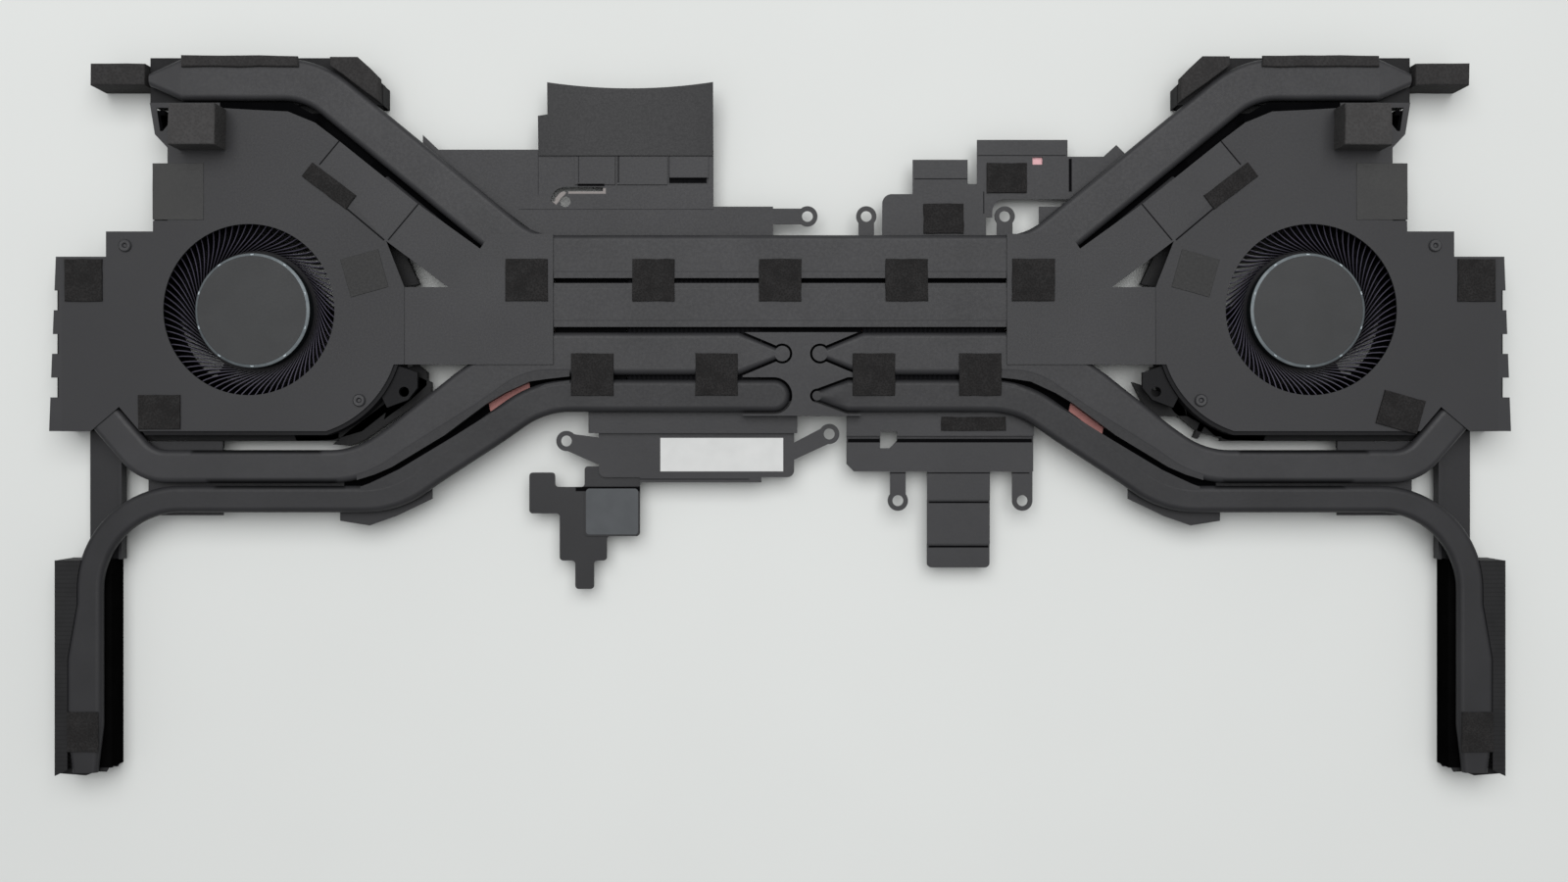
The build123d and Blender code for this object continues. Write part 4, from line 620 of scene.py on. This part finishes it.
sintered_bronze = grained_finish(
    "sintered_bronze", "#7a5f38", "#927446", 0.45, bronze_cloud, metal_grain)
set_metallic(sintered_bronze, 1.0)
wound_wire = grained_finish("wound_wire", "#7c3d1c", "#9a5228", 0.35, wire_cloud, wire_gauge)
set_metallic(wound_wire, 0.7)
ground_steel = grained_finish("ground_steel", "#8f9294", "#a5a8aa", 0.22, steel_cloud, metal_grain)
set_metallic(ground_steel, 1.0)
bonded_ferrite = grained_finish(
    "bonded_ferrite", "#1c1c1d", "#29292a", 0.6, ferrite_cloud, ferrite_grain)
dress(sintered_bronze, *pair("bearing_sleeve"))
dress(wound_wire, *pair("stator"))
dress(ground_steel, *pair("rotor_shaft"))
dress(bonded_ferrite, *pair("rotor_magnet"))

# Impellers: one moulding each, a ring pressed on the cap with 79 thin blades. The blades start low
# at the ring, rise to full height under the inlet and lean back. Their upward faces carry a painted
# highlight.
blade_count = 79
blade_gauge = 0.24 * mm
blade_steps = 9
blade_root = 15.45 * mm
blade_turn = radians(29)
blade_turn_length = 3.3 * mm
blade_root_top = 4.6 * mm
blade_full_radius = 25 * mm
blade_crowding = 1.3
ring_outer = 15.6 * mm
ring_inner = 14.63 * mm
ring_top = 4.4 * mm
ring_steps = 96
merge_reach = 0.001 * mm
resin_cloud = 5 * mm
resin_grain = 0.4 * mm
blade_dark = "#0e0d11"
blade_shadow = 2.6 * mm


def moulded_blades(name, axis_x, axis_y):
    """Black resin; upward faces get a painted highlight, dimmed near the ring by painted shade."""
    material = grained_finish(name, blade_dark, "#141318", 0.45, resin_cloud, resin_grain, 0.15)
    facing = add_node(material, "ShaderNodeNewGeometry").outputs["Normal"]
    upward = add_node(material, "ShaderNodeSeparateXYZ", links={0: facing}).outputs["Z"]
    edge = add_node(
        material, "ShaderNodeMapRange", {"From Min": 0.2, "From Max": 0.75}, {"Value": upward})
    place = add_node(material, "ShaderNodeTexCoord").outputs["Object"]
    level = add_node(
        material, "ShaderNodeVectorMath", {"operation": "MULTIPLY", 1: (1, 1, 0)}, {0: place})
    radius = add_node(
        material, "ShaderNodeVectorMath", {"operation": "DISTANCE", 1: (axis_x, axis_y, 0)},
        {0: level.outputs["Vector"]})
    rise = add_node(
        material, "ShaderNodeMapRange",
        {"From Min": ring_outer, "From Max": ring_outer + blade_shadow, "To Min": 0.1},
        {"Value": radius.outputs["Value"]})
    mask = add_node(
        material, "ShaderNodeMath", {"operation": "MULTIPLY"},
        {0: edge.outputs["Result"], 1: rise.outputs["Result"]})
    # Painted highlight on upward faces, dimmed near the ring as painted shade.
    overlay(material, "#403d4a", mask.outputs["Value"])
    # The ring itself keeps the plain dark resin, without the painted highlight.
    mark(
        material, blade_dark, (0, 0, 0), (endless, endless, ring_top + spray_edge), spray_edge)
    return material


def lathe(shape, profile, axis_x, axis_y, steps):
    """Turn a profile of radius and height about an upright axis."""
    corners = [shape.verts.new((axis_x + radius, axis_y, height)) for radius, height in profile]
    edges = [shape.edges.new(ends) for ends in zip(corners, corners[1:])]
    bmesh.ops.spin(
        shape, geom=corners + edges, cent=(axis_x, axis_y, 0), axis=(0, 0, 1), angle=tau,
        steps=steps, use_merge=True)
    bmesh.ops.remove_doubles(shape, verts=shape.verts, dist=merge_reach)


for side, sign in sides.items():
    node = side + "_impeller"
    low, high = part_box(node)
    axis_x, axis_y = (low.x + high.x) / 2, (low.y + high.y) / 2
    blade_tip = (high.x - low.x) / 2
    wheel = bmesh.new()
    bmesh.ops.create_grid(wheel, x_segments=blade_steps, y_segments=1, size=1)
    for corner in wheel.verts:
        along = (corner.co.x + 1) / 2
        radius = blade_root + (blade_tip - blade_root) * along ** blade_crowding
        rise = min((radius - blade_root) / (blade_full_radius - blade_root), 1)
        top = blade_root_top + (high.z - blade_root_top) * sin(rise * pi / 2)
        turn = sign * blade_turn * (1 - exp((blade_root - radius) / blade_turn_length))
        corner.co = (
            axis_x + radius * cos(turn), axis_y + radius * sin(turn),
            top if corner.co.y > 0 else low.z)
    wheel.normal_update()
    bmesh.ops.solidify(wheel, geom=wheel.faces[:], thickness=blade_gauge)
    bmesh.ops.spin(
        wheel, geom=wheel.verts[:] + wheel.edges[:] + wheel.faces[:], cent=(axis_x, axis_y, 0),
        axis=(0, 0, 1), angle=tau * (blade_count - 1) / blade_count, steps=blade_count - 1,
        use_duplicate=True)
    ring = [
        (ring_inner, low.z), (ring_outer, low.z), (ring_outer, ring_top), (ring_inner, ring_top),
        (ring_inner, low.z)]
    lathe(wheel, ring, axis_x, axis_y, ring_steps)
    blade_resin = moulded_blades(side + "_blade_resin", axis_x, axis_y)
    make_piece(side + "_blade_wheel", wheel, blade_resin, side + "_rotor", "blade_plastic", node)

# Rotor caps: pressed steel cups with a bright bevelled rim, staked in ten places, and a wall that
# is coloured dark below the bevel. A thin grey disc is stuck on the flat top.
cap_steps = 120
cap_wall = 0.6 * mm
bevel_width = 0.7 * mm
bevel_drop = 0.5 * mm
bevel_blur = 0.1 * mm
disc_gauge = 0.08 * mm
disc_cloud = 9 * mm
stake_count = 10
stake_length = 0.8 * mm
stake_width = 0.3 * mm
cap_steel = grained_finish("cap_steel", "#7d858a", "#939b9e", 0.38, steel_cloud, sheet_peel)
set_metallic(cap_steel, 0.6)
hub_disc_film = grained_finish("hub_disc_film", "#2d2e2f", "#323334", 0.5, disc_cloud, sheet_peel)
flat_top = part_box("left_rotor_cap")[1].z - disc_gauge
mark(cap_steel, "#182224", (0, 0, 0), (endless, endless, flat_top - bevel_drop), bevel_blur)
for side in sides:
    node = side + "_rotor_cap"
    low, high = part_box(node)
    axis_x, axis_y = (low.x + high.x) / 2, (low.y + high.y) / 2
    cap_radius = (high.x - low.x) / 2
    cap = bmesh.new()
    lathe(
        cap,
        [(0, flat_top), (cap_radius - bevel_width, flat_top), (cap_radius, flat_top - bevel_drop),
         (cap_radius, low.z), (cap_radius - cap_wall, low.z),
         (cap_radius - cap_wall, flat_top - cap_wall - bevel_drop),
         (cap_radius - bevel_width - cap_wall, flat_top - cap_wall),
         (0, flat_top - cap_wall)],
        axis_x, axis_y, cap_steps)
    for index in range(stake_count):
        turn = Matrix.Rotation(tau * (index + 0.5) / stake_count, 4, "Z")
        place = Matrix.Translation((cap_radius - bevel_width / 2, 0, flat_top - bevel_drop / 2))
        size = Matrix.Diagonal((stake_width, stake_length, stake_width, 1))
        bmesh.ops.create_cube(
            cap, size=1, matrix=Matrix.Translation((axis_x, axis_y, 0)) @ turn @ place @ size)
    make_piece(side + "_cap_cup", cap, cap_steel, side + "_rotor", "rotor_steel", node)
    disc = bmesh.new()
    disc_radius = cap_radius - bevel_width
    lathe(
        disc,
        [(0, flat_top), (disc_radius, flat_top), (disc_radius, flat_top + disc_gauge / 2),
         (disc_radius - disc_gauge, high.z), (0, high.z)],
        axis_x, axis_y, cap_steps)
    make_piece(side + "_hub_disc", disc, hub_disc_film, side + "_rotor", "hub_paint")

# Cover screws: four pan heads with a recess that hold the covers on the posts of the bases.
# Blackened steel, a little brighter than the paint round them.
head_radius = 1.6 * mm
head_crown = 0.25 * mm
shank_radius = 0.75 * mm
recess_radius = 0.7 * mm
recess_depth = 0.4 * mm
head_steps = 28
head_cloud = 2 * mm
screw_places = [(165.9 * mm, 43.3 * mm), (106.6 * mm, 4.1 * mm)]
screw_black = grained_finish("screw_black", "#2a2a2c", "#343436", 0.35, head_cloud, metal_grain)
screw_low, screw_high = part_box("fan_screws")
screws = bmesh.new()
for sign in sides.values():
    for x, y in screw_places:
        lathe(
            screws,
            [(0, screw_low.z), (shank_radius, screw_low.z), (shank_radius, cover_top),
             (head_radius, cover_top), (head_radius, screw_high.z - head_crown),
             (head_radius - head_crown, screw_high.z), (recess_radius, screw_high.z),
             (recess_radius / 2, screw_high.z - recess_depth), (0, screw_high.z - recess_depth)],
            sign * x, y, head_steps)
make_piece("cover_screws", screws, screw_black, "module", "rotor_steel", "fan_screws")

# Foam blocks and rear gaskets: open-cell foam cut by hand and stuck on with film. Its pores are
# about half a millimetre, and its cut faces are never quite straight.
foam_pore = 0.6 * mm
foam_ragged = 0.25 * mm
foam_edge = 0.35 * mm
foam_wave = 5 * mm
foam_depth = 0.15 * mm
flat_angle = radians(1)
level_face = 0.99
cut_seed = 11


def open_foam(name, dark, pale, pore, depth):
    """Soft foam or felt: dark pores in a dull skeleton, and no shine at all."""
    material, shader, place = start_material(name)
    pores = add_node(
        material, "ShaderNodeTexVoronoi", {"Scale": 1 / pore}, {"Vector": place})
    clouds = add_node(
        material, "ShaderNodeTexNoise", {"Scale": 0.12 / pore, "Detail": 3.0}, {"Vector": place})
    shadow = add_node(
        material, "ShaderNodeMath", {"operation": "MULTIPLY"},
        {0: pores.outputs["Distance"], 1: clouds.outputs["Fac"]})
    shade = add_node(
        material, "ShaderNodeMapRange", {"From Min": 0.1, "From Max": 0.45},
        {"Value": shadow.outputs["Value"]})
    colour = add_node(
        material, "ShaderNodeMix", {"data_type": "RGBA", 6: linear(dark), 7: linear(pale)},
        {0: shade.outputs["Result"]})
    relief = add_node(
        material, "ShaderNodeBump", {"Strength": 0.7, "Distance": depth},
        {"Height": pores.outputs["Distance"]})
    shader.inputs["Roughness"].default_value = 0.95
    shader.inputs["Specular IOR Level"].default_value = 0.25
    material.node_tree.links.new(colour.outputs[2], shader.inputs["Base Color"])
    material.node_tree.links.new(relief.outputs["Normal"], shader.inputs["Normal"])
    return material


def slabs(node):
    """Outline, underside and top of each flat slab in a node."""
    copy = bmesh.new()
    copy.from_mesh(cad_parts[node].data)
    bmesh.ops.remove_doubles(copy, verts=copy.verts, dist=merge_reach)
    bmesh.ops.dissolve_limit(copy, angle_limit=flat_angle, verts=copy.verts, edges=copy.edges)
    found = []
    for face in copy.faces:
        if face.normal.z > level_face:
            top = face.verts[0].co.z
            heights = [
                edge.other_vert(corner).co.z for corner in face.verts for edge in corner.link_edges]
            found.append(([corner.co.xy for corner in face.verts], min(heights), top))
    copy.free()
    return found


def cut_slab(shape, corners, bottom, top, ragged, edge, wave):
    """Slab cut by hand: an outline with slightly uneven sides, and soft upper edges."""
    centre = sum(corners, Vector((0, 0))) / len(corners)
    drawn_in = []
    for corner in corners:
        inward = centre - corner
        step = Vector((copysign(ragged, inward.x), copysign(ragged, inward.y)))
        drawn_in.append(corner + step)
    face = shape.faces.new([shape.verts.new((*corner, bottom)) for corner in drawn_in])
    for side_edge in face.edges[:]:
        cuts = int(side_edge.calc_length() / wave)
        if cuts:
            bmesh.ops.subdivide_edges(shape, edges=[side_edge], cuts=cuts)
    for corner in face.verts:
        shift = noise.noise_vector(corner.co / wave) * ragged
        corner.co += Vector((shift.x, shift.y, 0))
    grown = bmesh.ops.extrude_face_region(shape, geom=[face])["geom"]
    upper = [part for part in grown if isinstance(part, bmesh.types.BMVert)]
    bmesh.ops.translate(shape, verts=upper, vec=(0, 0, top - bottom))
    roof = [part for part in grown if isinstance(part, bmesh.types.BMFace)][0]
    bmesh.ops.bevel(
        shape, geom=roof.edges[:], offset=edge, offset_type="OFFSET", segments=2, profile=0.5,
        affect="EDGES", material=-1)


def cut_piece(name, node, material, slot, ragged, edge, wave):
    """Piece with a hand-cut slab for each slab of a node."""
    shape = bmesh.new()
    for corners, bottom, top in slabs(node):
        cut_slab(shape, corners, bottom, top, ragged, edge, wave)
    return make_piece(name, shape, material, "module", slot, node)


noise.seed_set(cut_seed)
block_foam = open_foam("block_foam", "#3a3939", "#424141", foam_pore, foam_depth)
gasket_foam = open_foam("gasket_foam", "#2a2929", "#343333", foam_pore, foam_depth)
for side in sides:
    block = cut_piece(
        side + "_foam", side + "_foam_block", block_foam, "foam", foam_ragged, foam_edge, foam_wave)
    gasket = cut_piece(
        side + "_gasket", side + "_rear_gasket", gasket_foam, "foam", foam_ragged, foam_edge, foam_wave)

# Pads: small squares of felted foam, die-cut and stuck on the pipes, plates and fans. They are
# brownish black with a short nap that blurs their edges.
nap = 0.45 * mm
nap_depth = 0.1 * mm
pad_ragged = 0.15 * mm
pad_edge = 0.2 * mm
pad_wave = 2.5 * mm
pad_felt = open_foam("pad_felt", "#191818", "#282727", nap, nap_depth)
for name in ("pipe_pads", "plate_pads", "fan_pads"):
    pads = cut_piece(name[:-1] + "_felts", name, pad_felt, "pad", pad_ragged, pad_edge, pad_wave)

# Fan tapes: squares of matt polyester film over the seams of the fans. They lie nearly flush, and
# only a thin edge tells the outer ones from the cover. The inner ones are darker.
tape_edge = 0.05 * mm
tape_ragged = 0.05 * mm
tape_wave = 3 * mm
tape_cloud = 9 * mm
tape_grain = 0.6 * mm
inner_squares = 112 * mm
tape_film = grained_finish("tape_film", "#292929", "#2f2f2e", 0.45, tape_cloud, tape_grain)
mark(tape_film, "#181818", (0, 0, 0), (inner_squares, endless, endless), fold_blur)
cut_piece("tape_squares", "fan_tapes", tape_film, "tape", tape_ragged, tape_edge, tape_wave)

# Labels: one white paper sticker and one dark grey film sticker, both blank. Die-cut with small
# round corners.
label_edge = 0.03 * mm
label_wave = 1.0
paper_cloud = 5 * mm
paper_grain = 0.3 * mm
white_paper = grained_finish("white_paper", "#c6c7c6", "#cdcecd", 0.6, paper_cloud, paper_grain)
grey_film = grained_finish("grey_film", "#404346", "#474a4d", 0.45, paper_cloud, paper_grain)
cut_piece("blank_white_sticker", "white_label", white_paper, "white_paper", 0.0, label_edge, label_wave)
cut_piece("blank_grey_sticker", "grey_label", grey_film, "grey_paper", 0.0, label_edge, label_wave)

# Thermal pads: soft silicone slabs between the pipes and the board, cut to size and pressed on. They
# are still under a dull pink liner. Where the window of the upper right plate shows it, it is drawn
# paler: painted light.
thermal_ragged = 0.15 * mm
thermal_edge = 0.15 * mm
thermal_wave = 4 * mm
liner_cloud = 4 * mm
pink_liner = grained_finish("pink_liner", "#95605c", "#a56e69", 0.5, liner_cloud, sheet_peel)
# Paler liner in the window of the upper right plate: painted light.
window_painted_light = (65.8 * mm, 65.5 * mm, 0)
window_painted_light_half = (3 * mm, 2 * mm, endless)
mark(pink_liner, "#d3a3a7", window_painted_light, window_painted_light_half, spray_edge)
thermal_slabs = cut_piece(
    "thermal_slabs", "thermal_pads", pink_liner, "thermal_pad", thermal_ragged, thermal_edge,
    thermal_wave)

# Insulating flap: a sheet of black polycarbonate film, stuck to the upper left plate along its near
# edge. It curls up a little at both sides.
flap_columns = 24
flap_rows = 48
flap_rise = 1.4 * mm
flap_dip = 1.3 * mm
flap_gauge = 0.25 * mm
flap_step = 2.4 * mm
flap_step_y = 77.2 * mm
flap_cloud = 14 * mm
flap_film = grained_finish("flap_film", "#18181a", "#1d1d1f", 0.45, flap_cloud, sheet_peel)
low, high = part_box("insulating_flap")
flap = bmesh.new()
bmesh.ops.create_grid(flap, x_segments=flap_columns, y_segments=flap_rows, size=1)
for corner in flap.verts:
    across, along = corner.co.x, (corner.co.y + 1) / 2
    far_edge = high.y - flap_dip * (1 - across ** 2)
    y = low.y + along * (far_edge - low.y)
    west = low.x + (flap_step if y > flap_step_y else 0)
    x = west + (across + 1) / 2 * (high.x - west)
    curl = (2 * x - low.x - high.x) / (high.x - low.x)
    corner.co = (x, y, low.z + flap_gauge + flap_rise * along * curl ** 2)
bmesh.ops.recalc_face_normals(flap, faces=flap.faces)
bmesh.ops.solidify(flap, geom=flap.faces[:], thickness=flap_gauge)
make_piece("film_flap", flap, flap_film, "module", "film", "insulating_flap")

# Floor, light and camera: a pale table under one wide soft light, seen from straight above. The
# room is brighter overhead than at its walls.
camera_height = 380 * mm
camera_x = 1.0 * mm
camera_y = -6.2 * mm
view_width = 408 * mm
sensor = 36.0
floor_size = 3.0
floor_cloud = 300 * mm
floor_grain = 2 * mm
floor_shape = bmesh.new()
bmesh.ops.create_grid(floor_shape, x_segments=1, y_segments=1, size=floor_size / 2)
floor_mesh = bpy.data.meshes.new("floor")
floor_shape.to_mesh(floor_mesh)
floor_shape.free()
floor_paint = grained_finish("floor_paint", "#d2d4d2", "#d8dad8", 0.8, floor_cloud, floor_grain)
floor_mesh.materials.append(floor_paint)
floor = bpy.data.objects.new("floor", floor_mesh)
bpy.context.scene.collection.objects.link(floor)
floor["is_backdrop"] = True

lamp_height = 1.1
lamp_back = 0.45
lamp_width = 1.4
lamp_depth = 1.1
lamp_power = 14.0
lamp_data = bpy.data.lights.new("ceiling_light", "AREA")
lamp_data.shape = "RECTANGLE"
lamp_data.size = lamp_width
lamp_data.size_y = lamp_depth
lamp_data.energy = lamp_power
lamp = bpy.data.objects.new("ceiling_light", lamp_data)
lamp.location = (0, lamp_back, lamp_height)
lamp.rotation_euler = lamp.location.to_track_quat("Z", "Y").to_euler()
bpy.context.scene.collection.objects.link(lamp)

wall_strength = 0.15
overhead_strength = 0.6
seen_strength = 0.85
world = bpy.data.worlds.new("room")
world.use_nodes = True
room_direction = add_node(world, "ShaderNodeTexCoord").outputs["Generated"]
room_height = add_node(world, "ShaderNodeSeparateXYZ", links={0: room_direction}).outputs["Z"]
room_light = add_node(
    world, "ShaderNodeMapRange", {"To Min": wall_strength, "To Max": overhead_strength},
    {"Value": room_height})
seen = add_node(world, "ShaderNodeLightPath").outputs["Is Camera Ray"]
strength = add_node(
    world, "ShaderNodeMix", {3: seen_strength}, {0: seen, 2: room_light.outputs["Result"]})
background = world.node_tree.nodes["Background"]
background.inputs["Color"].default_value = linear("#f4f5f6")
world.node_tree.links.new(strength.outputs[0], background.inputs["Strength"])
bpy.context.scene.world = world

camera_data = bpy.data.cameras.new("camera")
camera_data.sensor_width = sensor
camera_data.lens = sensor * camera_height / view_width
camera = bpy.data.objects.new("camera", camera_data)
camera.location = (camera_x, camera_y, camera_height)
bpy.context.scene.collection.objects.link(camera)
bpy.context.scene.camera = camera
bpy.context.scene.view_settings.view_transform = "Standard"

low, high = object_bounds()
